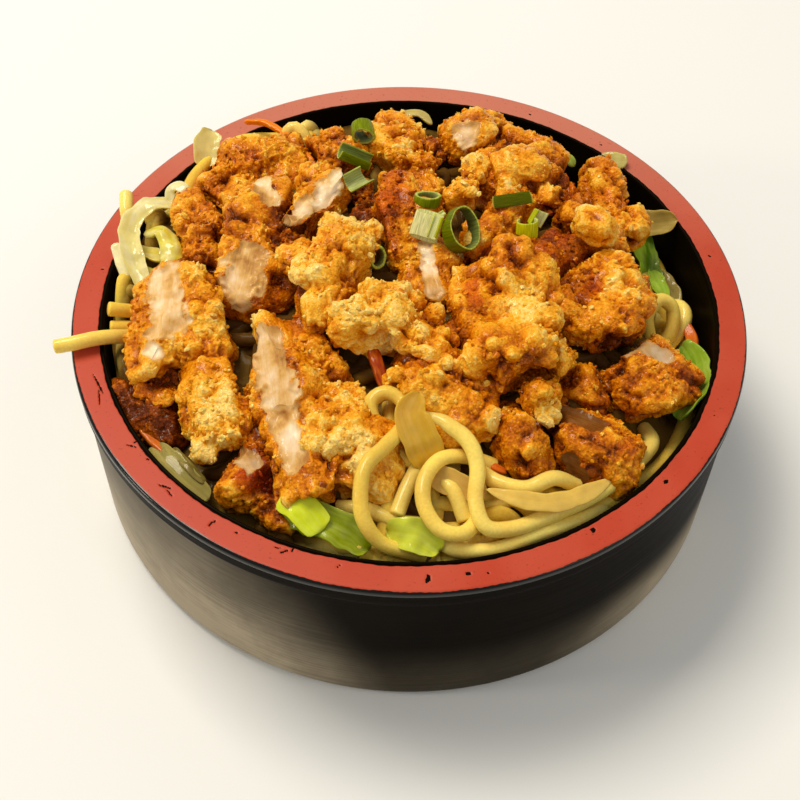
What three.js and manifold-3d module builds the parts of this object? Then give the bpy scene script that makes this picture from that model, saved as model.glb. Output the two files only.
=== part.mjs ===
// Yakisoba with fried chicken: a heap of stir-fried noodles and vegetables in a round lacquered
// tub, piled with pieces of crisp fried chicken and scattered with spring onion.
// Millimetres, +Z up. The origin is the middle of the tub's underside.

import * as THREE from 'three';
import { mergeVertices } from 'three/addons/utils/BufferGeometryUtils.js';
import Module from 'manifold-3d';

const wasm = await Module();
wasm.setup();

// Tub
const TUB_HEIGHT = 57;
const TUB_RADIUS = 93.2;
const FOOT_RADIUS = 88.7;
const FOOT_ROUND = 4;
const EDGE_ROUND = 1.2;
const EDGE_STEP = 0.8;
const EDGE_HEIGHT = 6;
const BAND_DROP = 0.4;
const LIP_RADIUS = 84.3;
const LIP_DEPTH = 1.8;
const LIP_ROUND = 1.2;
const FLOOR_THICKNESS = 7;
const FLOOR_CORNER = 9;
const FLOOR_RADIUS = 81.5;
const TUB_SEGMENTS = 56;

// Gap left between pieces that touch
const GAP = 0.35;

// Noodle heap
const HEAP_CROWN = 65;
const HEAP_EDGE = 50;
const HEAP_RADIUS = 84;
const HEAP_SEGMENTS = 28;
const HEAP_RINGS = 7;
const BANK_INNER = 60;
const BANK_OUTER = 80;
const TROUGH = { angle: 28, halfWidth: 58, rise: -12 };
const LEFT_BANK = { angle: 155, halfWidth: 65, rise: 6 };
const NOODLE_DIAMETER = 4;
const NOODLE_SIDES = 6;
const NOODLE_STEP = 5.8;

// Crust of the chicken
const LUMP_SIZE = 9.5;
const LUMP_HEIGHT = 6;
const BULGE_SIZE = 22;
const BULGE_HEIGHT = 4;

const COLOURS = {
  lacquer: 0x17130f,
  noodle: 0xdfba5c,
  crust: 0xd78a30,
  cabbage: 0xdfe0a0,
  leaf: 0x86b52a,
  onion: 0xd8c583,
  carrot: 0xdc6a1c,
  scallion: 0x5f9a2c,
};

const yakisoba = new THREE.Group();

function addPiece(name, geometry, colour, roughness) {
  const material = new THREE.MeshStandardMaterial({ color: colour, roughness, metalness: 0 });
  const mesh = new THREE.Mesh(geometry, material);
  mesh.name = name;
  yakisoba.add(mesh);
}

// A closed three.js geometry as a manifold solid, without the empty faces at its poles.
function toSolid(geometry) {
  const bare = geometry.clone();
  bare.deleteAttribute('normal');
  bare.deleteAttribute('uv');
  const merged = mergeVertices(bare, 1e-4);
  const index = merged.index.array;
  const triVerts = [];
  for (let i = 0; i < index.length; i += 3) {
    const [a, b, c] = [index[i], index[i + 1], index[i + 2]];
    if (a !== b && b !== c && c !== a) {
      triVerts.push(a, b, c);
    }
  }
  const vertProperties = Float32Array.from(merged.attributes.position.array);
  const mesh = new wasm.Mesh({ numProp: 3, vertProperties, triVerts: Uint32Array.from(triVerts) });
  return new wasm.Manifold(mesh);
}

function toGeometry(solid) {
  const mesh = solid.getMesh();
  const geometry = new THREE.BufferGeometry();
  geometry.setAttribute('position', new THREE.Float32BufferAttribute(mesh.vertProperties, 3));
  geometry.setIndex(Array.from(mesh.triVerts));
  return geometry;
}

// The largest connected body of a solid. Scraps and the walls of sealed hollows are dropped.
function largestBody(solid) {
  const bodies = solid.decompose();
  return bodies.reduce((best, body) => (body.volume() > best.volume() ? body : best));
}

function boxesMeet(a, b) {
  const p = a.boundingBox();
  const q = b.boundingBox();
  return [0, 1, 2].every((k) => p.min[k] < q.max[k] && q.min[k] < p.max[k]);
}

// A solid with the room of the given neighbours taken out of it.
function clearOf(solid, rooms) {
  const met = rooms.filter((room) => boxesMeet(solid, room));
  return met.reduce((rest, room) => rest.subtract(room), solid);
}

// Smooth noise from -1 to 1: random values on a unit lattice, blended between its points.
function latticeValue(i, j, k, seed) {
  const wave = Math.sin(i * 127.1 + j * 311.7 + k * 74.7 + seed * 53.3) * 43758.5453;
  return wave - Math.floor(wave);
}

function smoothNoise(x, y, z, seed) {
  const [i, j, k] = [Math.floor(x), Math.floor(y), Math.floor(z)];
  const ease = (t) => t * t * (3 - 2 * t);
  const [u, v, w] = [ease(x - i), ease(y - j), ease(z - k)];
  const row = (b, c) => {
    const left = latticeValue(i, j + b, k + c, seed);
    return left + (latticeValue(i + 1, j + b, k + c, seed) - left) * u;
  };
  const near = row(0, 0) + (row(1, 0) - row(0, 0)) * v;
  const far = row(0, 1) + (row(1, 1) - row(0, 1)) * v;
  return 2 * (near + (far - near) * w) - 1;
}

function smoothStep(low, high, x) {
  const t = Math.min(Math.max((x - low) / (high - low), 0), 1);
  return t * t * (3 - 2 * t);
}

// The tub's outline from its underside round to the middle of its floor, grown outwards by a
// margin. The rim is a flat band between a rounded outer edge and a thin inner lip.
function tubOutline(margin) {
  const outline = new THREE.Path();
  const top = TUB_HEIGHT + margin;
  const outer = TUB_RADIUS + margin;
  const lip = LIP_RADIUS - margin;
  const floorRadius = FLOOR_RADIUS - margin;
  const floorTop = FLOOR_THICKNESS + margin;
  outline.moveTo(0, -margin);
  outline.lineTo(FOOT_RADIUS, -margin);
  const side = FOOT_RADIUS + FOOT_ROUND;
  outline.quadraticCurveTo(side, -margin, side + margin, FOOT_ROUND);
  outline.lineTo(outer - EDGE_STEP, top - EDGE_HEIGHT);
  outline.quadraticCurveTo(outer, top - EDGE_HEIGHT, outer, top - EDGE_HEIGHT + EDGE_STEP);
  outline.lineTo(outer, top - BAND_DROP - EDGE_ROUND);
  outline.quadraticCurveTo(outer, top - BAND_DROP, outer - EDGE_ROUND, top - BAND_DROP);
  outline.lineTo(lip + LIP_ROUND, top);
  outline.quadraticCurveTo(lip, top, lip, top - LIP_DEPTH);
  outline.lineTo(floorRadius, floorTop + FLOOR_CORNER);
  outline.quadraticCurveTo(floorRadius, floorTop, floorRadius - FLOOR_CORNER, floorTop);
  outline.lineTo(0, floorTop);
  return outline.getPoints(2);
}

function innerWallRadius(z) {
  const low = FLOOR_THICKNESS + FLOOR_CORNER;
  const t = Math.min(Math.max((z - low) / (TUB_HEIGHT - LIP_DEPTH - low), 0), 1);
  return FLOOR_RADIUS + (LIP_RADIUS - FLOOR_RADIUS) * t;
}

// Height of the bare heap: a dome, with a trough along the back right of the wall and a bank
// along the left of it.
function heapHeight(x, y) {
  const r = Math.hypot(x, y);
  const dome = Math.max(0, 1 - (r / HEAP_RADIUS) ** 2);
  const turn = THREE.MathUtils.radToDeg(Math.atan2(y, x));
  const banks = [TROUGH, LEFT_BANK].map(({ angle, halfWidth, rise }) => {
    const away = Math.abs(THREE.MathUtils.euclideanModulo(turn - angle + 180, 360) - 180);
    return rise * Math.max(0, 1 - (away / halfWidth) ** 2);
  });
  const bank = (banks[0] + banks[1]) * smoothStep(BANK_INNER, BANK_OUTER, r);
  return HEAP_EDGE + (HEAP_CROWN - HEAP_EDGE) * dome + bank;
}

// The bare heap, or with a raise the room that it takes: rings of points from the middle of
// its top out to the wall, down the wall and back to the middle of its underside.
function heapCore(raise) {
  const bottom = FLOOR_THICKNESS + GAP - raise;
  const rows = [];
  const widest = innerWallRadius(HEAP_EDGE + TROUGH.rise) - GAP;
  for (let ring = 1; ring <= HEAP_RINGS; ring++) {
    const radius = widest * (ring / HEAP_RINGS) ** 0.9;
    rows.push({ radius: radius + raise, heightAt: (x, y) => heapHeight(x, y) + raise });
  }
  const foot = FLOOR_RADIUS - GAP + raise;
  rows.push({ radius: foot, heightAt: () => FLOOR_THICKNESS + FLOOR_CORNER });
  rows.push({ radius: foot - 0.35 * FLOOR_CORNER, heightAt: () => bottom + 0.3 * FLOOR_CORNER });
  rows.push({ radius: foot - 1.1 * FLOOR_CORNER, heightAt: () => bottom });
  const points = [new THREE.Vector3(0, 0, heapHeight(0, 0) + raise)];
  for (const { radius, heightAt } of rows) {
    for (let i = 0; i < HEAP_SEGMENTS; i++) {
      const turn = 2 * Math.PI * i / HEAP_SEGMENTS;
      const [x, y] = [radius * Math.cos(turn), radius * Math.sin(turn)];
      points.push(new THREE.Vector3(x, y, heightAt(x, y)));
    }
  }
  points.push(new THREE.Vector3(0, 0, bottom));
  const last = points.length - 1;
  const faces = [];
  for (let i = 0; i < HEAP_SEGMENTS; i++) {
    const next = (i + 1) % HEAP_SEGMENTS;
    faces.push(0, 1 + i, 1 + next);
    const base = 1 + (rows.length - 1) * HEAP_SEGMENTS;
    faces.push(last, base + next, base + i);
    for (let row = 0; row < rows.length - 1; row++) {
      const upper = 1 + row * HEAP_SEGMENTS;
      const lower = upper + HEAP_SEGMENTS;
      faces.push(upper + i, lower + i, lower + next);
      faces.push(upper + i, lower + next, upper + next);
    }
  }
  const geometry = new THREE.BufferGeometry().setFromPoints(points);
  geometry.setIndex(faces);
  return geometry;
}

const turned = (margin) => new THREE.LatheGeometry(tubOutline(margin), TUB_SEGMENTS).rotateX(Math.PI / 2);
const tub = toSolid(turned(0));
const tubRoom = toSolid(turned(GAP));
addPiece('tub', toGeometry(tub), COLOURS.lacquer, 0.25);

const core = toSolid(heapCore(0));
const coreRoom = toSolid(heapCore(GAP));

// Fried chicken. Each piece runs along a line on its crown from one end to the other, with
// its width across that line and its depth below it. A pinch narrows one end, and a slice is
// the flat face left where the piece was cut, facing out along its own side and up axes.
const CHICKEN = [
  { name: 'back_left', ends: [[-60, 35, 66], [-36, 57, 67]], wide: 22, deep: 16 },
  { name: 'left_slice', ends: [[-39, 24, 74], [-43, -13, 70]], wide: 20, deep: 14,
    slice: [0.2, 0.98, 0.72] },
  { name: 'left_strip', ends: [[-64, 31, 68], [-56, -2, 70]], wide: 17, deep: 15 },
  { name: 'left_big', ends: [[-62, 2, 71], [-60, -33, 67]], wide: 27, deep: 15,
    slice: [-0.55, 0.83, 0.62] },
  { name: 'left_shell', ends: [[-73, -23, 61], [-57, -37, 62]], wide: 14, deep: 12 },
  { name: 'back_slab', ends: [[-18, 43, 71], [-36, 6, 74]], wide: 17, deep: 13,
    slice: [-0.3, 0.95, 0.7] },
  { name: 'mid_upper', ends: [[-18, 22, 79], [-24, -22, 78]], wide: 23, deep: 15, pinch: -0.15 },
  { name: 'mid_lower', ends: [[-18, -15, 80], [13, -31, 77]], wide: 21, deep: 15 },
  { name: 'centre_long', ends: [[-5, 40, 75], [4, -15, 74]], wide: 19, deep: 15,
    slice: [0.25, 0.97, 0.8] },
  { name: 'back_centre', ends: [[-8, 71, 66], [7, 32, 71]], wide: 20, deep: 15 },
  { name: 'back_ring', ends: [[8, 53, 68], [26, 69, 67]], wide: 18, deep: 14, slice: [0.6, 0.8, 0.8] },
  { name: 'centre_fin', ends: [[18, 45, 75], [14, 21, 75]], wide: 13, deep: 12, pinch: -0.25 },
  { name: 'back_right', ends: [[28, 62, 68], [38, 22, 71]], wide: 21, deep: 14 },
  { name: 'right_narrow', ends: [[46, 49, 67], [45, 17, 69]], wide: 12, deep: 12 },
  { name: 'right_strip', ends: [[57, 51, 66], [55, 4, 68]], wide: 17, deep: 14, pinch: 0.15 },
  { name: 'right_red', ends: [[27, -11, 71], [45, 19, 71]], wide: 20, deep: 14 },
  { name: 'right_big', ends: [[44, -22, 71], [59, 7, 71]], wide: 25, deep: 15 },
  { name: 'centre_bits', ends: [[19, 11, 71], [28, 29, 71]], wide: 12, deep: 10 },
  { name: 'dark_bits', ends: [[14, 3, 67], [28, 13, 67]], wide: 12, deep: 9 },
  { name: 'front_centre', ends: [[26, 0, 79], [22, -42, 74]], wide: 24, deep: 16, pinch: -0.1 },
  { name: 'side_nub', ends: [[34, -23, 72], [42, -35, 70]], wide: 11, deep: 10 },
  { name: 'tail_nub', ends: [[29, -34, 73], [37, -49, 70]], wide: 12, deep: 11 },
  { name: 'round_front', ends: [[-3, -36, 71], [23, -42, 70]], wide: 17, deep: 15 },
  { name: 'hanging', ends: [[27, -38, 66], [32, -62, 60]], wide: 14, deep: 11, pinch: 0.3 },
  { name: 'shade_nub', ends: [[44, -24, 64], [50, -37, 62]], wide: 11, deep: 9 },
  { name: 'right_front', ends: [[55, -21, 67], [72, -38, 63]], wide: 25, deep: 16,
    slice: [0.75, 0.66, 0.75] },
  { name: 'corner_slice', ends: [[38, -42, 62], [60, -52, 60]], wide: 18, deep: 12,
    slice: [0.5, 0.87, 0.6] },
  { name: 'big_slice', ends: [[-33, -15, 75], [-23.5, -68, 64]], wide: 25, deep: 17, pinch: 0.1,
    slice: [-0.6, 0.8, 0.55] },
  { name: 'front_wedge', ends: [[-14, -39, 71], [-15, -68, 63]], wide: 16, deep: 13, pinch: -0.2 },
  { name: 'left_front', ends: [[-50, -28, 68], [-48, -62, 62]], wide: 17, deep: 13,
    slice: [-0.7, 0.7, 0.7] },
  { name: 'corner_red', ends: [[-43, -46, 62], [-27, -73, 59]], wide: 18, deep: 14, pinch: -0.15 },
  { name: 'shade_left', ends: [[-72, -28, 57], [-60, -47, 56]], wide: 15, deep: 11 },
  { name: 'back_small', ends: [[-31, 64, 65], [-21, 49, 67]], wide: 14, deep: 11 },
];
const SQUARENESS = 2.5;
const SLICE_SOFTNESS = 0.12;
const CRUST_FACE = 6;
const CRUST_ROOM = 0.65;

// A piece's own axes: along it, to its side and up, with the middle of its body.
function pieceFrame({ ends, deep }) {
  const start = new THREE.Vector3(...ends[0]);
  const end = new THREE.Vector3(...ends[1]);
  const along = end.clone().sub(start);
  const length = along.length();
  along.normalize();
  const side = new THREE.Vector3(0, 0, 1).cross(along).normalize();
  const up = along.clone().cross(side);
  const middle = start.add(end).multiplyScalar(0.5).addScaledVector(up, -deep / 2);
  return { along, side, up, middle, length };
}

// A piece of crust-covered chicken: a rounded block whose points are moved in and out from its
// middle by two sizes of lump, then down to a flat face where it was sliced. Grow makes it
// that much larger all over.
function chickenGeometry(piece, seed, grow) {
  const { along, side, up, middle, length } = pieceFrame(piece);
  const half = new THREE.Vector3(length / 2, piece.wide / 2, piece.deep / 2);
  const around = Math.max(7, Math.round(Math.PI * (piece.wide + piece.deep) / 2 / CRUST_FACE));
  const rows = Math.max(5, Math.round(length / CRUST_FACE));
  const geometry = new THREE.SphereGeometry(1, around, rows).rotateZ(-Math.PI / 2);
  const position = geometry.attributes.position;
  const n = SQUARENESS;
  for (let i = 0; i < position.count; i++) {
    const d = new THREE.Vector3().fromBufferAttribute(position, i);
    const reach = (Math.abs(d.x) ** n + Math.abs(d.y) ** n + Math.abs(d.z) ** n) ** (-1 / n);
    const q = d.clone().multiplyScalar(reach);
    const narrow = 1 - (piece.pinch ?? 0) * q.x;
    const p = new THREE.Vector3(q.x * half.x, q.y * half.y * narrow, q.z * half.z * narrow);
    const out = new THREE.Vector3(q.x / half.x, q.y / half.y, q.z / half.z).normalize();
    const lumps = LUMP_HEIGHT * smoothNoise(p.x / LUMP_SIZE, p.y / LUMP_SIZE, p.z / LUMP_SIZE, seed)
      + BULGE_HEIGHT * smoothNoise(p.x / BULGE_SIZE, p.y / BULGE_SIZE, p.z / BULGE_SIZE, seed + 50);
    p.multiplyScalar(1 + (lumps + grow) / p.dot(out));
    if (piece.slice) {
      const face = new THREE.Vector3(0, piece.slice[0], piece.slice[1]);
      const level = piece.slice[2] * (Math.abs(face.y) * half.y + Math.abs(face.z) * half.z) + grow;
      const height = p.dot(face);
      if (height > level) {
        p.multiplyScalar((level + SLICE_SOFTNESS * (height - level)) / height);
      }
    }
    const place = middle.clone().addScaledVector(along, p.x);
    place.addScaledVector(side, p.y).addScaledVector(up, p.z);
    position.setXYZ(i, place.x, place.y, place.z);
  }
  return geometry;
}

// The pieces on top keep their shape, and each lower one is pressed in round them.
const crownHeight = ({ ends }) => (ends[0][2] + ends[1][2]) / 2;
const byHeight = CHICKEN.map((piece, seed) => ({ piece, seed }))
  .sort((a, b) => crownHeight(b.piece) - crownHeight(a.piece));
const chickenRooms = [];
for (const { piece, seed } of byHeight) {
  const whole = toSolid(chickenGeometry(piece, seed, 0));
  const fitted = largestBody(clearOf(whole, [coreRoom, tubRoom, ...chickenRooms]));
  chickenRooms.push(toSolid(chickenGeometry(piece, seed, CRUST_ROOM)).add(whole));
  addPiece(`chicken_${piece.name}`, toGeometry(fitted), COLOURS.crust, 0.55);
}

// A soft strip or leaf: a thin sheet carried along a line of points. Across it, it is split
// into columns, arched by a cup and rippled by a wave, and both of its faces are split alike.
// Facing is the way its upper face looks.
function sheetGeometry(sheet, grow) {
  const { line, wide, thick, facing = [0, 0, 1], columns = 1, cup = 0, wave = 0, taper = 0.5 } = sheet;
  const curve = new THREE.CatmullRomCurve3(line.map((point) => new THREE.Vector3(...point)));
  const steps = Math.max(4, Math.round(curve.getLength() / 5));
  const look = new THREE.Vector3(...facing).normalize();
  const rows = steps + 1;
  const across = columns + 1;
  const vertices = [];
  for (const face of [1, -1]) {
    for (let row = 0; row < rows; row++) {
      const t = row / steps;
      const middle = curve.getPointAt(t);
      const along = curve.getTangentAt(t);
      const side = look.clone().cross(along).normalize();
      const up = along.clone().cross(side);
      const width = (wide + 2 * grow) * (1 - taper * Math.abs(2 * t - 1) ** 3);
      for (let column = 0; column < across; column++) {
        const v = 2 * column / columns - 1;
        const lift = cup * v * v + wave * Math.sin(6 * t + 2.2 * v) + face * (thick / 2 + grow);
        vertices.push(middle.clone().addScaledVector(side, v * width / 2).addScaledVector(up, lift));
      }
    }
  }
  const faces = [];
  const upper = (row, column) => row * across + column;
  const lower = (row, column) => rows * across + row * across + column;
  const quad = (a, b, c, d) => faces.push(a, b, c, a, c, d);
  for (let row = 0; row < steps; row++) {
    for (let column = 0; column < columns; column++) {
      quad(upper(row, column), upper(row + 1, column), upper(row + 1, column + 1), upper(row, column + 1));
      quad(lower(row, column), lower(row, column + 1), lower(row + 1, column + 1), lower(row + 1, column));
    }
    quad(upper(row, 0), lower(row, 0), lower(row + 1, 0), upper(row + 1, 0));
    quad(upper(row, columns), upper(row + 1, columns), lower(row + 1, columns), lower(row, columns));
  }
  for (let column = 0; column < columns; column++) {
    quad(upper(0, column), upper(0, column + 1), lower(0, column + 1), lower(0, column));
    quad(upper(steps, column), lower(steps, column), lower(steps, column + 1), upper(steps, column + 1));
  }
  const geometry = new THREE.BufferGeometry().setFromPoints(vertices);
  geometry.setIndex(faces);
  return geometry;
}

const SHEETS = [
  { name: 'cabbage_left_outer', colour: COLOURS.cabbage, wide: 5, thick: 1.4,
    columns: 2, cup: 0.6, wave: 0.4,
    line: [[-69, 38, 57], [-70, 31, 60], [-76, 28, 62], [-80, 21, 62], [-79, 12, 62], [-75, 2, 60],
      [-72, -4, 57]] },
  { name: 'cabbage_left_rim', colour: COLOURS.cabbage, wide: 4.5, thick: 1.6, columns: 1,
    facing: [-0.5, -0.4, 1],
    line: [[-84, 14, 61], [-81, 8, 60], [-78, 2, 57]] },
  { name: 'cabbage_left_curl', colour: COLOURS.cabbage, wide: 6, thick: 1.2, columns: 2, cup: -0.8,
    line: [[-77, 20, 59], [-72, 20, 61], [-68, 13, 61], [-68, 7, 60], [-72, 5, 58], [-76, 9, 57]] },
  { name: 'cabbage_front', colour: COLOURS.leaf, wide: 9, thick: 1.1, columns: 2, cup: 1.2, wave: 0.7,
    facing: [0, -0.6, 1], line: [[-30, -71, 55], [-22, -73, 57], [-14, -76, 56], [-8, -79, 53]] },
  { name: 'cabbage_front_small', colour: COLOURS.leaf, wide: 8, thick: 0.9,
    columns: 2, cup: 1.2, wave: 0.6,
    facing: [0.2, -0.6, 1], line: [[-4, -75, 55], [0, -76, 56], [4, -77, 56], [9, -79, 53]] },
  { name: 'leaf_right_back', colour: COLOURS.leaf, wide: 9, thick: 1, columns: 2, cup: 1.6, wave: 0.8,
    facing: [0.5, -0.2, 1], line: [[68, 40, 50], [70, 32, 49], [71, 23, 48], [71, 13, 46]] },
  { name: 'leaf_right_wall', colour: COLOURS.leaf, wide: 9, thick: 1, columns: 2, cup: 1, wave: 0.8,
    facing: [-0.8, 0.1, 1],
    line: [[76, -9, 51], [78, -16, 52], [78, -23, 53], [76, -30, 54], [72, -37, 53]] },
  { name: 'onion_front', colour: COLOURS.onion, wide: 8.5, thick: 0.9, columns: 2, cup: 0.9, taper: 0.75,
    facing: [0.1, -0.9, 1], line: [[3, -45, 72], [1.5, -50, 69], [4, -56, 66], [8, -61, 62]] },
  { name: 'onion_front_strip', colour: COLOURS.onion, wide: 4.2, thick: 1, columns: 1, taper: 0.6,
    facing: [0, -0.4, 1],
    line: [[20, -66, 61], [28, -68.5, 61], [37, -68, 60], [46, -63, 59], [54, -57, 58]] },
  { name: 'onion_right_rim', colour: COLOURS.onion, wide: 7, thick: 1.1, columns: 1, taper: 0.7,
    facing: [0, -0.8, 1], line: [[66, 41, 51], [72, 38, 54], [79, 35, 58.5]] },
  { name: 'onion_right_wall', colour: COLOURS.onion, wide: 5, thick: 1, columns: 1, taper: 0.8,
    facing: [-0.6, -0.3, 1], line: [[73, 25, 45], [76, 19, 45], [79, 12, 44]] },
  { name: 'onion_back_left', colour: COLOURS.onion, wide: 7.5, thick: 1.3,
    columns: 2, cup: 0.8, taper: 0.15,
    facing: [0.3, -0.6, 1], line: [[-63, 51, 57], [-63.5, 57, 60], [-61.5, 62, 62]] },
  { name: 'onion_back_right', colour: COLOURS.onion, wide: 6.5, thick: 1.2, columns: 1, taper: 0.4,
    facing: [0, -0.6, 1], line: [[54, 56, 48], [59, 60, 55], [65, 57, 59]] },
  { name: 'carrot_back', colour: COLOURS.carrot, wide: 2, thick: 1.8, taper: 0.5,
    line: [[-53, 69, 60], [-47, 69, 60], [-41, 65, 60], [-36, 59, 60], [-30, 51, 60]] },
  { name: 'carrot_middle', colour: COLOURS.carrot, wide: 3.2, thick: 2.4, taper: 0.3,
    line: [[-10, -26, 68], [-8, -32, 67], [-5, -40, 64]] },
  { name: 'carrot_right', colour: COLOURS.carrot, wide: 3.4, thick: 2.2, taper: 0.4, facing: [-0.6, 0, 1],
    line: [[78, 3, 47], [80, -2, 47], [80, -7, 47], [78, -12, 48]] },
  { name: 'carrot_left', colour: COLOURS.carrot, wide: 2.4, thick: 2, taper: 0.4,
    line: [[-71, -42, 53], [-66, -48, 53], [-61, -53, 53]] },
];
const sheetRooms = [];
for (const { name, colour, ...sheet } of SHEETS) {
  const whole = toSolid(sheetGeometry(sheet, 0));
  const fitted = largestBody(clearOf(whole, [coreRoom, tubRoom, ...chickenRooms, ...sheetRooms]));
  sheetRooms.push(toSolid(sheetGeometry(sheet, GAP + 0.05)));
  addPiece(name, toGeometry(fitted), colour, 0.35);
}

// Spring onion: short cut lengths of hollow leaf, as a round wall between two radii. Axis is
// the way its hole points and at is its middle, in millimetres above the tub's underside.
const SCALLIONS = [
  { name: 'ring_back', at: [-15.5, 58, 68], axis: [0.3, -0.7, 0.6], outer: 3.6, inner: 2.5, long: 3 },
  { name: 'tube_back_a', at: [-16.5, 40.5, 73], axis: [1, 0.1, 0.2], outer: 2.6, inner: 1.7, long: 9 },
  { name: 'tube_back_b', at: [-16, 30.5, 74.5], axis: [1, -0.35, 0.1], outer: 2.8, inner: 1.8, long: 8 },
  { name: 'ring_middle', at: [3.7, 18.7, 77], axis: [0.1, -0.55, 0.85], outer: 3.7, inner: 2.6, long: 2.4 },
  { name: 'leek_middle', at: [4, 8.7, 76.5], axis: [0.3, -0.5, 0.85], outer: 4.2, inner: 2.2, long: 3.6 },
  { name: 'ring_right', at: [13.2, 9, 75.5], axis: [0.3, -0.5, 0.8], outer: 5, inner: 3.9, long: 3 },
  { name: 'strip_right', at: [27.7, 22, 74.5], axis: [1, 0, 0.1], outer: 2, inner: 1.1, long: 10 },
  { name: 'cut_right', at: [33.5, 12.5, 75], axis: [0.9, 0.5, 0.2], outer: 2.4, inner: 1.4, long: 8 },
];
const SCALLION_SIDES = 9;

function scallionGeometry({ at, axis, outer, inner, long }, grow) {
  const profile = [
    new THREE.Vector2(inner - grow, -long / 2 - grow),
    new THREE.Vector2(outer + grow, -long / 2 - grow),
    new THREE.Vector2(outer + grow, long / 2 + grow),
    new THREE.Vector2(inner - grow, long / 2 + grow),
    new THREE.Vector2(inner - grow, -long / 2 - grow),
  ];
  const geometry = new THREE.LatheGeometry(profile, SCALLION_SIDES);
  const way = new THREE.Vector3(...axis).normalize();
  geometry.applyQuaternion(new THREE.Quaternion().setFromUnitVectors(new THREE.Vector3(0, 1, 0), way));
  geometry.translate(...at);
  return geometry;
}

const scallionRooms = [];
for (const { name, ...scallion } of SCALLIONS) {
  const whole = toSolid(scallionGeometry(scallion, 0));
  const rooms = [coreRoom, tubRoom, ...chickenRooms, ...sheetRooms, ...scallionRooms];
  scallionRooms.push(toSolid(scallionGeometry(scallion, GAP + 0.05)));
  addPiece(`scallion_${name}`, toGeometry(largestBody(clearOf(whole, rooms))), COLOURS.scallion, 0.4);
}

// Noodles that show on the heap, each as the points that its middle passes through.
const NOODLES = [
  [[7, -59, 57], [-3, -55, 61], [-8, -49, 64], [-9, -44, 66], [-5.5, -41.5, 67], [-1, -44, 67],
    [-0.5, -50, 66]],
  [[-0.5, -50, 66], [-5, -56, 64], [-9.5, -61, 62.5], [-10.5, -67, 61], [-9.5, -74, 58.5],
    [-5, -78.5, 55],
    [5, -78.5, 50]],
  [[4, -43, 60], [10.5, -47.5, 62.5], [16, -52.5, 62.5], [17.5, -60, 61.5], [17.5, -69, 60],
    [20, -74.5, 57.5],
    [26, -74, 56], [38, -68.5, 55.5], [49, -62, 55.5], [59, -52, 54], [64, -44, 52.5], [63, -38, 50]],
  [[22, -56, 57], [15, -56, 60.5], [9, -58, 62], [5, -64, 62], [5, -71, 60.5], [9, -76, 58],
    [14, -76.5, 57],
    [18, -71, 55], [17.5, -64, 54]],
  [[8, -60, 57], [12, -64, 57.5], [15, -70, 54]],
  [[-4.5, -41, 61], [-4, -50, 60], [-3.5, -60, 58.5], [-4, -70, 55]],
  [[3, -59, 59], [0.5, -65, 58.5], [-1.5, -71, 57]],
  [[-9, -69, 55], [-2, -72, 55], [4, -71, 52]],
  [[18, -57, 57], [23, -62, 58.5], [30, -64, 59], [37, -61, 59.5], [43, -60, 55]],
  [[6, -71, 52], [12, -78, 53], [22, -78, 52.5], [33, -73.5, 53], [44, -68.5, 52.5], [52, -62, 50]],
  [[30, -74, 49], [42, -68, 51], [57, -58, 50.5], [69, -45, 48]],
  [[-95.5, -23.5, 59.7], [-90, -21.5, 59.7], [-84, -19.5, 59.5], [-79, -17, 58], [-75, -14, 55]],
  [[-81.5, -9.5, 59.5], [-72, -7, 56]],
  [[-81, -13, 56], [-72, -11, 54]],
  [[-84, 34, 60.8], [-83, 28, 59.5], [-80, 19, 54]],
  [[-42, 70, 53], [-54, 64.5, 56], [-63, 53, 57], [-67, 42, 57], [-68, 30, 54]],
  [[-38.5, 55, 53], [-40.5, 63, 58], [-37.5, 66.5, 60.5], [-34, 64, 59], [-33, 60, 54]],
  [[68, -5, 48], [66.5, -1.5, 54], [70, 3, 56], [74, 3, 53], [74.5, -1, 48], [72, -4, 44]],
  [[74, 12, 43], [78, 8, 48], [79, 4, 48], [77, 0, 46], [73, -4, 42]],
];

function noodleGeometry(points) {
  const curve = new THREE.CatmullRomCurve3(points.map((point) => new THREE.Vector3(...point)));
  const section = new THREE.Shape();
  for (let i = 0; i < NOODLE_SIDES; i++) {
    const turn = 2 * Math.PI * i / NOODLE_SIDES;
    const [x, y] = [NOODLE_DIAMETER / 2 * Math.cos(turn), NOODLE_DIAMETER / 2 * Math.sin(turn)];
    section[i ? 'lineTo' : 'moveTo'](x, y);
  }
  section.closePath();
  const steps = Math.max(2, Math.round(curve.getLength() / NOODLE_STEP));
  const path = { steps, extrudePath: curve, bevelEnabled: false, curveSegments: 1 };
  return new THREE.ExtrudeGeometry(section, path);
}

const toppingRooms = [...chickenRooms, ...sheetRooms, ...scallionRooms];
const SCRAP_VOLUME = 12;
let heap = core;
for (const points of NOODLES) {
  const noodle = clearOf(toSolid(noodleGeometry(points)), [tubRoom, ...toppingRooms]);
  for (const length of noodle.decompose()) {
    if (length.volume() > SCRAP_VOLUME) {
      heap = heap.add(length);
    }
  }
}
addPiece('noodles', toGeometry(largestBody(heap)), COLOURS.noodle, 0.4);

export default yakisoba;
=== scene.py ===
"""Yakisoba with fried chicken in a round lacquered tub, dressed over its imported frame.

Sizes are written in millimetres and turned to metres where a mesh is made.
"""
import math

import bpy
import numpy as np
from mathutils import Matrix, Vector


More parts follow.
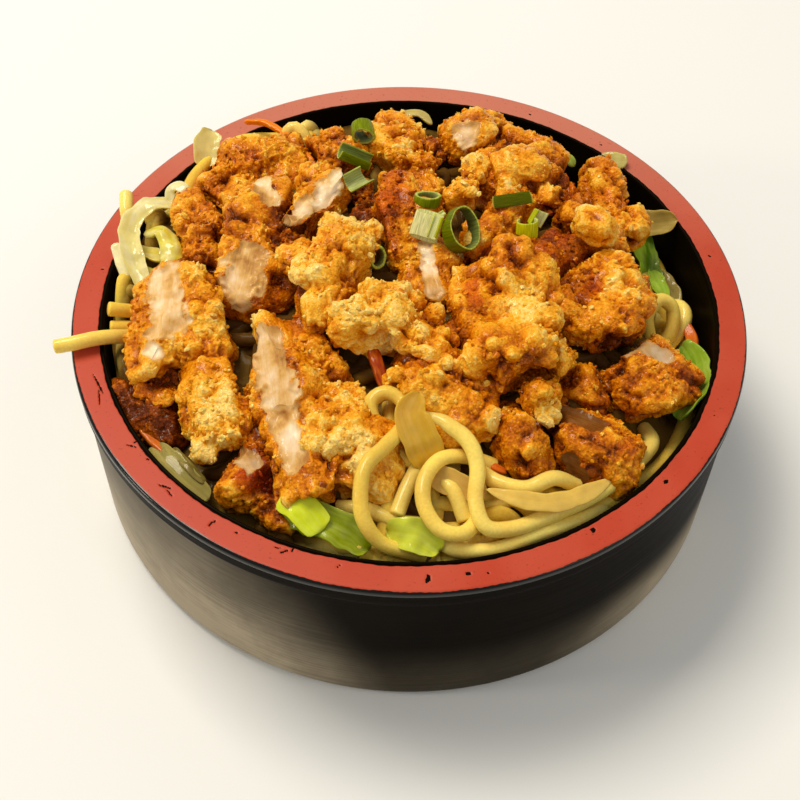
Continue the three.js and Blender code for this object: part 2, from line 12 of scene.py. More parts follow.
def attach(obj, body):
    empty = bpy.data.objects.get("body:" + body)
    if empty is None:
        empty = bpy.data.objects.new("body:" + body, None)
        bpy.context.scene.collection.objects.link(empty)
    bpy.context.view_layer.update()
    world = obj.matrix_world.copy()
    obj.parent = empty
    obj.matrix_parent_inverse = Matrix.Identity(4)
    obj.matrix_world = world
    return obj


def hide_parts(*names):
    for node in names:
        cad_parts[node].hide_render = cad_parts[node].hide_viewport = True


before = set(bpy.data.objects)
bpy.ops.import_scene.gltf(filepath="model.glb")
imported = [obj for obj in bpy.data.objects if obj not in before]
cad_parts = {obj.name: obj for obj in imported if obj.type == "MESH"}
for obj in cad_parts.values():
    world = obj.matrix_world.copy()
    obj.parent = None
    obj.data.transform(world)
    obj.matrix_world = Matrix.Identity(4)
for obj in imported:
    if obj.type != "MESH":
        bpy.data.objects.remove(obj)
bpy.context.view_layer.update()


# --- Camera -------------------------------------------------------------------------------
# A diner's camera above the front of the tub, held almost level, looking down at its middle.

# The sensor and lens are in mm, the place is in metres and the roll in radians.
SENSOR_WIDTH = 36
LENS = 57.16
CAMERA_PLACE = Vector((0, -0.23956, 0.31915))
CAMERA_LOOK = Vector((-0.00534, 0.61325, -0.78987))
CAMERA_ROLL = 0.0224

camera_data = bpy.data.cameras.new("camera")
camera_data.sensor_width = SENSOR_WIDTH
camera_data.lens = LENS
camera = bpy.data.objects.new("camera", camera_data)
bpy.context.scene.collection.objects.link(camera)
turn = CAMERA_LOOK.to_track_quat("-Z", "Y").to_matrix() @ Matrix.Rotation(CAMERA_ROLL, 3, "Z")
camera.matrix_world = Matrix.Translation(CAMERA_PLACE) @ turn.to_4x4()
bpy.context.scene.camera = camera


# --- Floor and light ----------------------------------------------------------------------
# A pale matt floor under a white room, with a broad soft window light high behind the tub, a
# low one at its left and a weak one at the front right.

MM = 0.001
FLOOR_SIZE = 6
ROOM_LIGHT = 0.40

# Each light's name, place and size in metres, and power in watts.
LIGHTS = [
    ("window", (-0.55, 0.50, 1.42), 0.70, 20.0),
    ("side_window", (-0.95, -0.20, 0.50), 0.15, 1.5),
    ("bounce", (0.55, -0.35, 0.55), 0.50, 0.7),
]


def srgb(hex_colour):
    """A colour written #RRGGBB in sRGB, as the linear RGBA that a shader takes."""
    parts = [int(hex_colour[i:i + 2], 16) / 255 for i in (1, 3, 5)]
    linear = [c / 12.92 if c <= 0.04045 else ((c + 0.055) / 1.055) ** 2.4 for c in parts]
    return (*linear, 1.0)


def new_material(name):
    """An empty node material, and its tree."""
    material = bpy.data.materials.new(name)
    material.use_nodes = True
    material.node_tree.nodes.clear()
    return material, material.node_tree


def add_node(tree, kind, inputs=None, **settings):
    """Adds a shader node to a tree with its settings. An input is a value, another node's output,
    or another node, which gives its first output that is in use."""
    made = tree.nodes.new("ShaderNode" + kind)
    for name, value in settings.items():
        setattr(made, name, value)
    for name, value in (inputs or {}).items():
        if isinstance(value, bpy.types.Node):
            value = next(output for output in value.outputs if output.enabled)
        if isinstance(value, bpy.types.NodeSocket):
            tree.links.new(value, made.inputs[name])
        else:
            made.inputs[name].default_value = value
    return made


floor_material, tree = new_material("matt white paper")
surface = add_node(tree, "BsdfPrincipled", {"Base Color": srgb("#EFF2F4"), "Roughness": 0.9})
add_node(tree, "OutputMaterial", {"Surface": surface})
bpy.ops.mesh.primitive_plane_add(size=FLOOR_SIZE)
floor = bpy.context.object
floor.name = "floor"
floor.data.materials.append(floor_material)

world = bpy.data.worlds.new("white room")
bpy.context.scene.world = world
world.use_nodes = True
background = world.node_tree.nodes["Background"]
background.inputs["Color"].default_value = srgb("#FFFCF4")
background.inputs["Strength"].default_value = ROOM_LIGHT
bpy.context.scene.view_settings.view_transform = "Standard"
bpy.context.scene.view_settings.look = "None"

for name, place, size, watts in LIGHTS:
    light_data = bpy.data.lights.new(name, "AREA")
    light_data.size = size
    light_data.energy = watts
    light_data.color = srgb("#FFF3E0")[:3]
    light = bpy.data.objects.new(name, light_data)
    light.matrix_world = (Matrix.Translation(place)
                          @ Vector(place).to_track_quat("Z", "Y").to_matrix().to_4x4())
    bpy.context.scene.collection.objects.link(light)


# --- Tub ----------------------------------------------------------------------------------
# A turned tub with a thick upright wall: black lacquer all over, and a band of red lacquer
# painted on its flat rim between a thin inner lip and the rounded outer edge.

TUB_HEIGHT = 57
TUB_RADIUS = 93.2
FOOT_RADIUS = 88.7
FOOT_ROUND = 4
EDGE_ROUND = 1.2
EDGE_STEP = 0.8
EDGE_HEIGHT = 6
BAND_DROP = 0.4
BAND_INNER = 85.7
BAND_OUTER = 92.75
LIP_RADIUS = 84.3
LIP_DEPTH = 1.8
LIP_ROUND = 1.2
FLOOR_THICKNESS = 7
FLOOR_CORNER = 9
FLOOR_RADIUS = 81.5
TUB_SEGMENTS = 480
BAND_FILM = 0.08
EDGE_FILM = 0.04
FILM_TUCK = 0.3
FILM_OVERLAP = 0.5
EDGE_TURNS = 480
BAND_TURNS = 1440
BAND_STEPS = 26

# Chips and scratches in the red band: place in mm from the middle, length and width in mm, and
# the angle in degrees that the mark makes with the rim.
CHIPS = [
    ((6.2, -88.9), 2.6, 1.1, 70), ((15.7, -87.2), 1.5, 1.0, 20), ((46.2, -74.0), 1.6, 1.3, 30),
    ((65.4, -59.2), 1.6, 1.2, 0), ((-81.2, -33.5), 7.5, 0.45, 8), ((-80.3, -37.5), 6.0, 0.4, -12),
    ((-68.0, -51.5), 3.0, 0.4, 80), ((-69.5, -53.0), 3.2, 0.35, 35), ((-59.2, -65.1), 3.4, 0.5, 25),
    ((-57.9, -66.9), 2.6, 0.35, -10), ((-46.4, -75.2), 2.8, 0.4, 75), ((-28.1, -82.6), 2.6, 0.5, 40),
    ((-26.5, -82.4), 2.0, 0.35, 80), ((-30.0, -81.6), 1.6, 0.35, 10), ((-83.8, 31.0), 1.4, 0.5, 0),
    ((-64.8, -57.0), 1.2, 0.4, 50), ((20.5, -86.9), 0.8, 0.5, 0), ((-15.0, -86.2), 1.2, 0.3, 60),
    ((58.0, 67.0), 1.2, 0.5, 20), ((36.5, 80.5), 1.1, 0.5, 0), ((86.0, 20.0), 1.0, 0.4, 40),
    ((-87.2, 8.0), 1.3, 0.4, 70), ((80.2, -38.0), 0.9, 0.4, 60), ((-40.2, -77.8), 0.9, 0.35, 30),
]


def quarter(start, corner, end, steps):
    """A rounded corner: (1 - t)^2 start + 2 t (1 - t) corner + t^2 end, for t from 0 to 1."""
    t = np.linspace(0, 1, steps)[:, None]
    start, corner, end = np.array(start, float), np.array(corner, float), np.array(end, float)
    return (1 - t) ** 2 * start + 2 * t * (1 - t) * corner + t ** 2 * end


def straight(start, end, steps):
    """Points at even steps from start to end, without the end itself."""
    t = np.linspace(0, 1, steps, endpoint=False)[:, None]
    return (1 - t) * np.array(start, float) + t * np.array(end, float)


def grid_quads(rows, columns, around, looped=False):
    """The quads of a grid of points, row by row, closed across its columns if it goes around and
    from its last row to its first if it is looped."""
    row, column = np.meshgrid(np.arange(rows if looped else rows - 1),
                              np.arange(columns if around else columns - 1), indexing="ij")
    following = (column + 1) % columns
    below = (row + 1) % rows
    corners = [row * columns + column, row * columns + following, below * columns + following,
               below * columns + column]
    return np.stack(corners, -1).reshape(-1, 4)


def smoothstep(low, high, x):
    """0 below low and 1 above high, eased between them by t*t*(3 - 2t)."""
    t = np.clip((x - low) / (high - low), 0, 1)
    return t * t * (3 - 2 * t)


def add_piece(name, points, faces, material, nodes=(), layers=None, smooth=True):
    """Makes a mesh object from points in mm and arrays of faces, smooth or faceted. Layers are
    values or colours at its points. It rides with the tub and may stand for CAD nodes."""
    mesh = bpy.data.meshes.new(name)
    loops = np.concatenate([f.ravel() for f in faces]).astype(np.int32)
    sides = np.concatenate([np.full(len(f), f.shape[1]) for f in faces]).astype(np.int32)
    starts = np.concatenate([[0], np.cumsum(sides)[:-1]]).astype(np.int32)
    mesh.vertices.add(len(points))
    mesh.vertices.foreach_set("co", (points * MM).astype(np.float32).ravel())
    mesh.loops.add(len(loops))
    mesh.loops.foreach_set("vertex_index", loops)
    mesh.polygons.add(len(sides))
    mesh.polygons.foreach_set("loop_start", starts)
    mesh.polygons.foreach_set("use_smooth", np.full(len(sides), smooth))
    for layer, values in (layers or {}).items():
        colours = np.ones((len(points), 4), np.float32)
        colours[:, :values.shape[1]] = values
        mesh.color_attributes.new(layer, "FLOAT_COLOR", "POINT").data.foreach_set("color", colours.ravel())
    mesh.update(calc_edges=True)
    mesh.materials.append(material)
    piece = bpy.data.objects.new(name, mesh)
    bpy.context.scene.collection.objects.link(piece)
    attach(piece, "root")
    if nodes:
        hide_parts(*nodes)
    return piece


def full_turn(count):
    """Angles at even steps round a whole turn."""
    return 2 * np.pi * np.arange(count) / count


def round_points(radius, turn, height):
    """Points round the Z axis, row by row: p = (r cos a, r sin a, z)."""
    axes = np.broadcast_arrays(radius * np.cos(turn), radius * np.sin(turn), height)
    return np.stack(axes, -1).reshape(-1, 3)


def fan_faces(tip, start, count):
    """The triangles from one point to the steps of a ring of points."""
    here = np.arange(count)
    return np.stack([np.full(count, tip), start + here, start + (here + 1) % count], -1)


def turned_surface(outline, segments):
    """A profile of (radius, height) turned round Z: p(s, a) = (r(s) cos a, r(s) sin a, z(s)).
    Its two ends meet the axis, so each is closed by a fan to one point."""
    ring = outline[1:-1]
    points = round_points(ring[:, :1], full_turn(segments), ring[:, 1:])
    first, last = len(points), len(points) + 1
    faces = [grid_quads(len(ring), segments, True), fan_faces(first, 0, segments)[:, ::-1],
             fan_faces(last, first - segments, segments)]
    return np.vstack([points, [[0, 0, outline[0, 1]]], [[0, 0, outline[-1, 1]]]]), faces


foot_side = FOOT_RADIUS + FOOT_ROUND
edge_foot = TUB_HEIGHT - EDGE_HEIGHT
band_top = TUB_HEIGHT - BAND_DROP
lip_outer = LIP_RADIUS + LIP_ROUND
lip_middle = LIP_RADIUS + LIP_ROUND / 2
lip_foot = TUB_HEIGHT - LIP_DEPTH
inner_corner = FLOOR_THICKNESS + FLOOR_CORNER
floor_edge = FLOOR_RADIUS - FLOOR_CORNER
tub_outline = np.vstack([
    [[0, 0]],
    straight((3, 0), (FOOT_RADIUS, 0), 10),
    quarter((FOOT_RADIUS, 0), (foot_side, 0), (foot_side, FOOT_ROUND), 8),
    straight((foot_side, FOOT_ROUND), (TUB_RADIUS - EDGE_STEP, edge_foot), 26)[1:],
    quarter((TUB_RADIUS - EDGE_STEP, edge_foot), (TUB_RADIUS, edge_foot),
            (TUB_RADIUS, edge_foot + EDGE_STEP), 6),
    straight((TUB_RADIUS, edge_foot + EDGE_STEP), (TUB_RADIUS, band_top - EDGE_ROUND), 6)[1:],
    quarter((TUB_RADIUS, band_top - EDGE_ROUND), (TUB_RADIUS, band_top),
            (TUB_RADIUS - EDGE_ROUND, band_top), 8),
    straight((TUB_RADIUS - EDGE_ROUND, band_top), (lip_outer, band_top), 26)[1:],
    quarter((lip_outer, band_top), (lip_outer, TUB_HEIGHT), (lip_middle, TUB_HEIGHT), 5),
    quarter((lip_middle, TUB_HEIGHT), (LIP_RADIUS, TUB_HEIGHT), (LIP_RADIUS, lip_foot), 8)[1:],
    straight((LIP_RADIUS, lip_foot), (FLOOR_RADIUS, inner_corner), 14)[1:],
    quarter((FLOOR_RADIUS, inner_corner), (FLOOR_RADIUS, FLOOR_THICKNESS),
            (floor_edge, FLOOR_THICKNESS), 6),
    straight((floor_edge, FLOOR_THICKNESS), (0, FLOOR_THICKNESS), 6)[1:],
    [[0, FLOOR_THICKNESS]],
])
tub_points, tub_faces = turned_surface(tub_outline, TUB_SEGMENTS)

# How pale the wall is painted: a painted sheen up the left side, brighter low down, where the
# wall mirrors the bright room, and worn patches along the foot all round, most at the foot on the
# right; hardly any in front.
radius = np.hypot(tub_points[:, 0], tub_points[:, 1])
turned = np.degrees(np.arctan2(tub_points[:, 1], tub_points[:, 0])) % 360
height = tub_points[:, 2]
# Up the left side the wall is painted paler, brightest low down: a painted reflection of the bright room.
left_sheen_share = smoothstep(0, 26, 272.5 - 0.25 * height - turned) * smoothstep(150, 190, turned)
right_share = smoothstep(292, 326, turned) * smoothstep(352, 334, turned)
wall_wear_and_sheen = left_sheen_share * (0.98 - 0.62 * smoothstep(4, 52, height))
wall_wear_and_sheen += (0.95 * right_share + 0.13) * smoothstep(30, 4, height)
wall_wear_and_sheen *= (radius > FOOT_RADIUS - 1) & (height < edge_foot - 1)

# Black lacquer over moulded resin: a hard dark film, glossy on the edge and the lip, with fine
# rub marks round the wall. It has gone brown grey along the foot where it is worn, and up the
# left side the brown grey is a painted sheen.
black_lacquer, tree = new_material("black lacquer worn and with painted sheen")
place = add_node(tree, "TexCoord")
wear_and_sheen = add_node(tree, "VertexColor", layer_name="wear_and_sheen")
wear_and_sheen_parts = add_node(tree, "SeparateColor", {"Color": wear_and_sheen})
xyz = add_node(tree, "SeparateXYZ", {"Vector": place.outputs["Object"]})
round_angle = add_node(tree, "Math", {0: xyz.outputs["Y"], 1: xyz.outputs["X"]}, operation="ARCTAN2")
streak_place = add_node(tree, "CombineXYZ", {"X": round_angle, "Y": xyz.outputs["Z"], "Z": 0.0})
# Rubbing marks: about 30 mm long round the wall and 0.7 mm high.
streak_scale = add_node(tree, "VectorMath", {0: streak_place, 1: (3.0, 1500.0, 1.0)}, operation="MULTIPLY")
streaks = add_node(tree, "TexNoise", {"Vector": streak_scale, "Scale": 1.0, "Detail": 4.0})
# Broad cloudy patches of haze, about 22 mm across.
haze = add_node(tree, "TexNoise",
                {"Vector": place.outputs["Object"], "Scale": 45.0, "Detail": 7.0, "Roughness": 0.62})
black = add_node(tree, "Mix", {"Factor": haze, "A": srgb("#060300"), "B": srgb("#140D04")},
                 data_type="RGBA")
clouds = add_node(tree, "MapRange",
                  {"Value": haze, "From Min": 0.35, "From Max": 0.65, "To Min": 0.74, "To Max": 1.14})
lines = add_node(tree, "MapRange",
                 {"Value": streaks, "From Min": 0.35, "From Max": 0.65, "To Min": 0.82, "To Max": 1.14})
wear_and_sheen_mottle = add_node(tree, "Math", {0: clouds, 1: lines}, operation="MULTIPLY")
# The brown grey that the point layer sets is worn patches along the foot and painted sheen up the left
# side.
wear_and_sheen_share = add_node(tree, "Math", {0: wear_and_sheen_parts.outputs["Red"], 1: wear_and_sheen_mottle}, operation="MULTIPLY")
worn_and_sheened = add_node(tree, "Mix", {"Factor": wear_and_sheen_share, "A": black, "B": srgb("#B2A48C")}, data_type="RGBA")
wall_rough = add_node(tree, "MapRange",
                      {"Value": streaks, "From Min": 0.3, "From Max": 0.7, "To Min": 0.32, "To Max": 0.46})
streak_bump = add_node(tree, "Bump", {"Height": streaks, "Strength": 0.25, "Distance": 0.00008})
surface = add_node(tree, "BsdfPrincipled",
                   {"Base Color": worn_and_sheened, "Roughness": wall_rough, "IOR": 1.08, "Normal": streak_bump})
add_node(tree, "OutputMaterial", {"Surface": surface})
add_piece("tub_lacquered", tub_points, tub_faces, black_lacquer, ["tub"],
          {"wear_and_sheen": wall_wear_and_sheen[:, None]})

# The rounded corner of the edge keeps a thick glossy coat, laid over it as its own film.
edge_top = band_top + EDGE_FILM
edge_side = TUB_RADIUS + EDGE_FILM
round_foot = edge_top - EDGE_ROUND
round_end = edge_side - EDGE_ROUND
film_foot = round_foot - FILM_OVERLAP - 0.1
edge_outline = np.vstack([
    straight((TUB_RADIUS - FILM_TUCK, film_foot), (edge_side, film_foot), 2),
    straight((edge_side, round_foot - FILM_OVERLAP), (edge_side, round_foot), 3),
    quarter((edge_side, round_foot), (edge_side, edge_top), (round_end, edge_top), 12),
    straight((round_end - 0.1, edge_top), (round_end - FILM_OVERLAP, edge_top), 3),
    [[round_end - FILM_OVERLAP, band_top - FILM_TUCK]],
])
edge_points = round_points(edge_outline[:, 0], full_turn(EDGE_TURNS)[:, None], edge_outline[:, 1])
edge_faces = [grid_quads(EDGE_TURNS, len(edge_outline), True, looped=True)[:, ::-1]]

# Glossy black lacquer: a thick clear film that mirrors the window, with faint ripples of the
# brush about 12 mm apart.
glossy_lacquer, tree = new_material("glossy black lacquer")
place = add_node(tree, "TexCoord")
ripple = add_node(tree, "TexNoise", {"Vector": place.outputs["Object"], "Scale": 85.0, "Detail": 3.0})
tar = add_node(tree, "Mix", {"Factor": ripple, "A": srgb("#020201"), "B": srgb("#0C0A07")},
               data_type="RGBA")
gloss = add_node(tree, "MapRange",
                 {"Value": ripple, "From Min": 0.3, "From Max": 0.7, "To Min": 0.08, "To Max": 0.22})
surface = add_node(tree, "BsdfPrincipled", {"Base Color": tar, "Roughness": gloss, "IOR": 1.4})
add_node(tree, "OutputMaterial", {"Surface": surface})
add_piece("rim_edge", edge_points, edge_faces, glossy_lacquer, ["tub"])

# The red band: a brushed film of lacquer on the rim, with uneven edges, that runs a little way
# over the rounded corner. Its two sides turn down into the black beneath. Where it is chipped it
# drops below the black, which shows there.
turn = full_turn(BAND_TURNS)[:, None]
across = np.concatenate([[0, 0, 0.01], np.linspace(0.025, 0.975, BAND_STEPS), [0.99, 1, 1]])[None]
lift = np.concatenate([[-0.25, 0.0, 0.06], np.full(BAND_STEPS, BAND_FILM), [0.06, 0.0, -0.25]])[None]
# The brush wandered by a tenth of a millimetre, and the rim is rubbed narrower at the front left.
wander = 0.09 * np.sin(23 * turn + 1) + 0.07 * np.sin(61 * turn) + 0.05 * np.sin(173 * turn + 2)
rim_inner = BAND_INNER + wander
rim_outer = BAND_OUTER - 0.7 * wander + 0.04 * np.sin(311 * turn)
rim_outer -= 0.45 * np.exp(-((turn - math.radians(228)) / math.radians(30)) ** 2)
r = rim_inner + across * (rim_outer - rim_inner)
x, y = r * np.cos(turn), r * np.sin(turn)
# A chip is an ellipse with a rough edge, laid at its angle to the rim.
chip = np.zeros_like(x)
for (middle_x, middle_y), long, wide, skew in CHIPS:
    rim_turn = math.atan2(middle_y, middle_x) + math.pi / 2 + math.radians(skew)
    along = ((x - middle_x) * math.cos(rim_turn) + (y - middle_y) * math.sin(rim_turn)) / (long / 2)
    aside = ((y - middle_y) * math.cos(rim_turn) - (x - middle_x) * math.sin(rim_turn)) / (wide / 2)
    rough_edge = 0.25 * np.sin(5.1 * x + 1.7 * y) + 0.2 * np.sin(9.3 * y - 4.1 * x)
    chip = np.maximum(chip, np.clip(3 * (1 - along ** 2 - aside ** 2 + rough_edge), 0, 1))
corner_drop = EDGE_ROUND * (1 - np.sqrt(np.clip((TUB_RADIUS - r) / EDGE_ROUND, 0, 1))) ** 2
z = band_top + lift - corner_drop - np.where(lift > 0, chip * (lift + 0.14), 0)
# Painted sheen: the band is painted paler towards the back, where its top mirrors the bright room behind.
painted_sheen_share = 0.45 * smoothstep(0.1, 0.9, y / r)
band_points = round_points(r, turn, z)
band_faces = [grid_quads(BAND_TURNS, across.shape[1], True, looped=True)]

# Red lacquer: opaque, with a soft sheen, a little cloudy, painted pale pink towards the back as a
# painted sheen, and fine dark specks where dust was caught in it.
red_lacquer, tree = new_material("brushed red lacquer")
place = add_node(tree, "TexCoord")
haze = add_node(tree, "TexNoise", {"Vector": place.outputs["Object"], "Scale": 60.0, "Detail": 6.0})
red_cloud = add_node(tree, "Mix", {"Factor": haze, "A": srgb("#B43823"), "B": srgb("#C4563E")},
                     data_type="RGBA")
painted_sheen = add_node(tree, "VertexColor", layer_name="painted_sheen")
painted_sheen_parts = add_node(tree, "SeparateColor", {"Color": painted_sheen})
red_with_sheen = add_node(tree, "Mix", {"Factor": painted_sheen_parts.outputs["Red"], "A": red_cloud, "B": srgb("#CE9A84")},
                     data_type="RGBA")
# Specks about 0.5 mm across.
speck = add_node(tree, "TexNoise", {"Vector": place.outputs["Object"], "Scale": 1400.0, "Detail": 2.0})
speck_step = add_node(tree, "MapRange",
                      {"Value": speck, "From Min": 0.66, "From Max": 0.74, "To Max": 0.55})
speckled = add_node(tree, "Mix", {"Factor": speck_step, "A": red_with_sheen, "B": srgb("#6E2A22")},
                    data_type="RGBA")
red_rough = add_node(tree, "MapRange",
                     {"Value": haze, "From Min": 0.3, "From Max": 0.7, "To Min": 0.26, "To Max": 0.42})
surface = add_node(tree, "BsdfPrincipled", {"Base Color": speckled, "Roughness": red_rough, "IOR": 1.22})
add_node(tree, "OutputMaterial", {"Surface": surface})
add_piece("rim_band", band_points, band_faces, red_lacquer, ["tub"],
          {"painted_sheen": painted_sheen_share.reshape(-1, 1)})


# --- Fried chicken ------------------------------------------------------------------------
# Boned chicken thigh in a coarse seasoned flour crust, deep fried, cut across into strips and
# piled on the noodles. The crust has popped lumps, flakes and crumbs, and the cuts show meat.

# Each piece runs along a line on its crown, with its width across and its depth below. A pinch
# narrows one end, and a slice is the flat cut face: the way it faces, and how far out it lies. A
# shaded piece has painted shade on its crust, by that much. Brown runs from pale gold to dark, and
# pop is how high its lumps stand. Bare meat, smooth red skin and bright gold lumps are long round
# patches, each from one point to another with a radius. All sizes are in mm.
CHICKEN = [
    dict(name="back_left", ends=[[-60, 35, 66], [-36, 57, 67]], wide=22, deep=16, brown=0.47, pop=1.4),
    dict(name="left_slice", ends=[[-39, 24, 74], [-43, -13, 70]], wide=20, deep=14,
         slice=[0.2, 0.98, 0.72], brown=0.35, pop=1.3,
         bare=[([-43.5, 30, 72.5], [-40, 22, 72], 3.0), ([-44, -1, 71], [-45.5, -9, 71], 5.5),
               ([-45, -12, 69], [-45, -15, 67], 2.8)]),
    dict(name="left_strip", ends=[[-64, 31, 68], [-56, -2, 70]], wide=17, deep=15, brown=0.62, pop=1.5),
    dict(name="left_big", ends=[[-62, 2, 71], [-60, -33, 67]], wide=27, deep=15, slice=[-0.55, 0.83, 0.62],
         brown=0.30, pop=1.4,
         bare=[([-66, -8, 70], [-63.5, -22, 69], 5.5), ([-67, -29, 66.5], [-63, -31, 67], 2.4)]),
    dict(name="left_shell", ends=[[-73, -23, 61], [-57, -37, 62]], wide=14, deep=12, brown=0.5, pop=1.1,
         shaded=0.1),
    dict(name="back_slab", ends=[[-18, 43, 71], [-36, 6, 74]], wide=17, deep=13, slice=[-0.3, 0.95, 0.7],
         brown=0.35, pop=1.2, bare=[([-20, 33, 73], [-36, 9, 72.5], 3.8)]),
    dict(name="mid_upper", ends=[[-18, 22, 79], [-24, -22, 78]], wide=23, deep=15, pinch=-0.15, brown=0.16,
         pop=2.0, gold=[([-27, -14, 78], [-21, -20, 77], 6)]),
    dict(name="mid_lower", ends=[[-18, -15, 80], [13, -31, 77]], wide=21, deep=15, brown=0.14, pop=2.1,
         gold=[([-12, -22, 80], [-5, -27, 77], 5)]),
    dict(name="centre_long", ends=[[-5, 40, 75], [4, -15, 74]], wide=19, deep=15, slice=[0.25, 0.97, 0.8],
         brown=0.44, pop=1.2, bare=[([3.5, 6, 73], [6.5, -10, 70.5], 2.4)], red_skin=0.32,
         skin=[([-5, 31, 76], [-8, 4, 75], 5.5)]),
    dict(name="back_centre", ends=[[-8, 71, 66], [7, 32, 71]], wide=20, deep=15, brown=0.25, pop=1.9),
    dict(name="back_ring", ends=[[8, 53, 68], [26, 69, 67]], wide=18, deep=14, slice=[0.6, 0.8, 0.8],
         brown=0.34, pop=1.4, bare=[([14.9, 54.5, 69.5], [15.5, 55, 69.5], 4.2)]),
    dict(name="centre_fin", ends=[[18, 45, 75], [14, 21, 75]], wide=13, deep=12, pinch=-0.25, brown=0.1,
         pop=1.2),
    dict(name="back_right", ends=[[28, 62, 68], [38, 22, 71]], wide=21, deep=14, brown=0.40, pop=1.6,
         gold=[([31, 43, 74], [33, 36, 74], 4.5)]),
    dict(name="right_narrow", ends=[[46, 49, 67], [45, 17, 69]], wide=12, deep=12, brown=0.55, pop=1.4),
    dict(name="right_strip", ends=[[57, 51, 66], [55, 4, 68]], wide=17, deep=14, pinch=0.15, brown=0.42,
         pop=1.7),
    dict(name="right_red", ends=[[27, -11, 71], [45, 19, 71]], wide=20, deep=14, brown=0.50, pop=0.9,
         smooth=0.6, skin=[([41, 12, 70], [37, 0, 71.5], 6)]),
    dict(name="right_big", ends=[[44, -22, 71], [59, 7, 71]], wide=25, deep=15, brown=0.57, pop=1.9,
         red_skin=0.6, skin=[([48, -8, 71], [50, -3, 71], 3)], gold=[([57, -8, 70], [60, -2, 70], 4)]),
    dict(name="centre_bits", ends=[[19, 11, 71], [28, 29, 71]], wide=12, deep=10, brown=0.48, pop=1.8),
    dict(name="dark_bits", ends=[[14, 3, 67], [28, 13, 67]], wide=12, deep=9, brown=0.95, pop=1.5),
    dict(name="front_centre", ends=[[26, 0, 79], [22, -42, 74]], wide=24, deep=16, pinch=-0.1, brown=0.26,
         pop=1.8, red_skin=0.7, skin=[([15.8, -12, 76], [17, -18, 76], 2.6)],
         gold=[([30, -15, 78], [32, -24, 77], 4.5)]),
    dict(name="side_nub", ends=[[34, -23, 72], [42, -35, 70]], wide=11, deep=10, brown=0.28, pop=1.3),
    dict(name="tail_nub", ends=[[29, -34, 73], [37, -49, 70]], wide=12, deep=11, brown=0.18, pop=1.0),
    dict(name="round_front", ends=[[-3, -36, 71], [23, -42, 70]], wide=17, deep=15, brown=0.30, pop=1.5),
    dict(name="hanging", ends=[[27, -38, 66], [32, -62, 60]], wide=14, deep=11, pinch=0.3, brown=0.48,
         pop=1.6),
    dict(name="shade_nub", ends=[[44, -24, 64], [50, -37, 62]], wide=11, deep=9, brown=0.55, pop=1.4),
    dict(name="right_front", ends=[[55, -21, 67], [72, -38, 63]], wide=25, deep=16,
         slice=[0.75, 0.66, 0.75], brown=0.46, pop=1.5, dark_meat=0.4,
         bare=[([52, -20, 66], [66, -23.5, 64.5], 3.8)]),
    dict(name="corner_slice", ends=[[38, -42, 62], [60, -52, 60]], wide=18, deep=12,
         slice=[0.5, 0.87, 0.6], brown=0.52, pop=1.3, dark_meat=0.9,
         bare=[([40, -43, 62.5], [47, -46, 62.5], 4.0), ([41, -57, 60], [43, -58, 57], 3.0)],
         gold=[([43, -51, 64], [46, -56, 63], 1.6)]),
    dict(name="big_slice", ends=[[-33, -15, 75], [-23.5, -68, 64]], wide=25, deep=17, pinch=0.1,
         slice=[-0.6, 0.8, 0.55], brown=0.36, pop=1.3, dark_meat=0.1,
         bare=[([-38.5, -27, 69.5], [-35, -37, 69.5], 5.2), ([-35, -37, 69.5], [-31, -51, 68], 5.4),
               ([-31, -51, 68], [-28, -62, 66], 4.4)]),
    dict(name="front_wedge", ends=[[-14, -39, 71], [-15, -68, 63]], wide=16, deep=13, pinch=-0.2,
         brown=0.2, pop=1.4, gold=[([-14, -46, 70], [-13, -60, 67], 5)]),
    dict(name="left_front", ends=[[-50, -28, 68], [-48, -62, 62]], wide=17, deep=13,
         slice=[-0.7, 0.7, 0.7], brown=0.12, pop=1.3, skin=[([-50, -31, 66], [-48, -36, 66], 3.5)],
         gold=[([-50, -42, 66], [-49, -58, 62], 6)]),
    dict(name="corner_red", ends=[[-43, -46, 62], [-27, -73, 59]], wide=18, deep=14, pinch=-0.15,
         brown=0.72, pop=1.2, dark_meat=0.3, bare=[([-42.5, -55, 62], [-38.5, -60.5, 62], 3.4)],
         red_skin=0.7, skin=[([-38, -65, 61.6], [-35, -65, 60], 3.5)]),
    dict(name="shade_left", ends=[[-72, -28, 57], [-60, -47, 56]], wide=15, deep=11, brown=0.45, pop=1.2,
         shaded=0.5),
    dict(name="back_small", ends=[[-31, 64, 65], [-21, 49, 67]], wide=14, deep=11, brown=0.6, pop=1.5),
]
# Scraps wedged in the gaps between them.
LOOSE_CHICKEN = [
    dict(name="scrap_slab", ends=[[-17, 38, 67], [-12, 26, 67.5]], wide=10, deep=9, brown=0.65, pop=1.3),
    dict(name="scrap_back", ends=[[1, 62, 64], [7, 50, 66.5]], wide=9, deep=9, brown=0.6, pop=1.4),
    dict(name="scrap_ring", ends=[[-24, 56, 62], [-16, 48, 64]], wide=8, deep=8, brown=0.55, pop=1.3,
         bare=[([-21, 52, 65], [-17, 49, 66], 2.2)]),
    dict(name="scrap_long", ends=[[-14, 22, 68], [-12, 10, 67]], wide=8, deep=8, brown=0.75, pop=1.2),
    dict(name="scrap_nugget", ends=[[48, 13.5, 76], [53, 11.5, 75.5]], wide=3.6, deep=3.4, brown=0.1,
         pop=0.5),
]

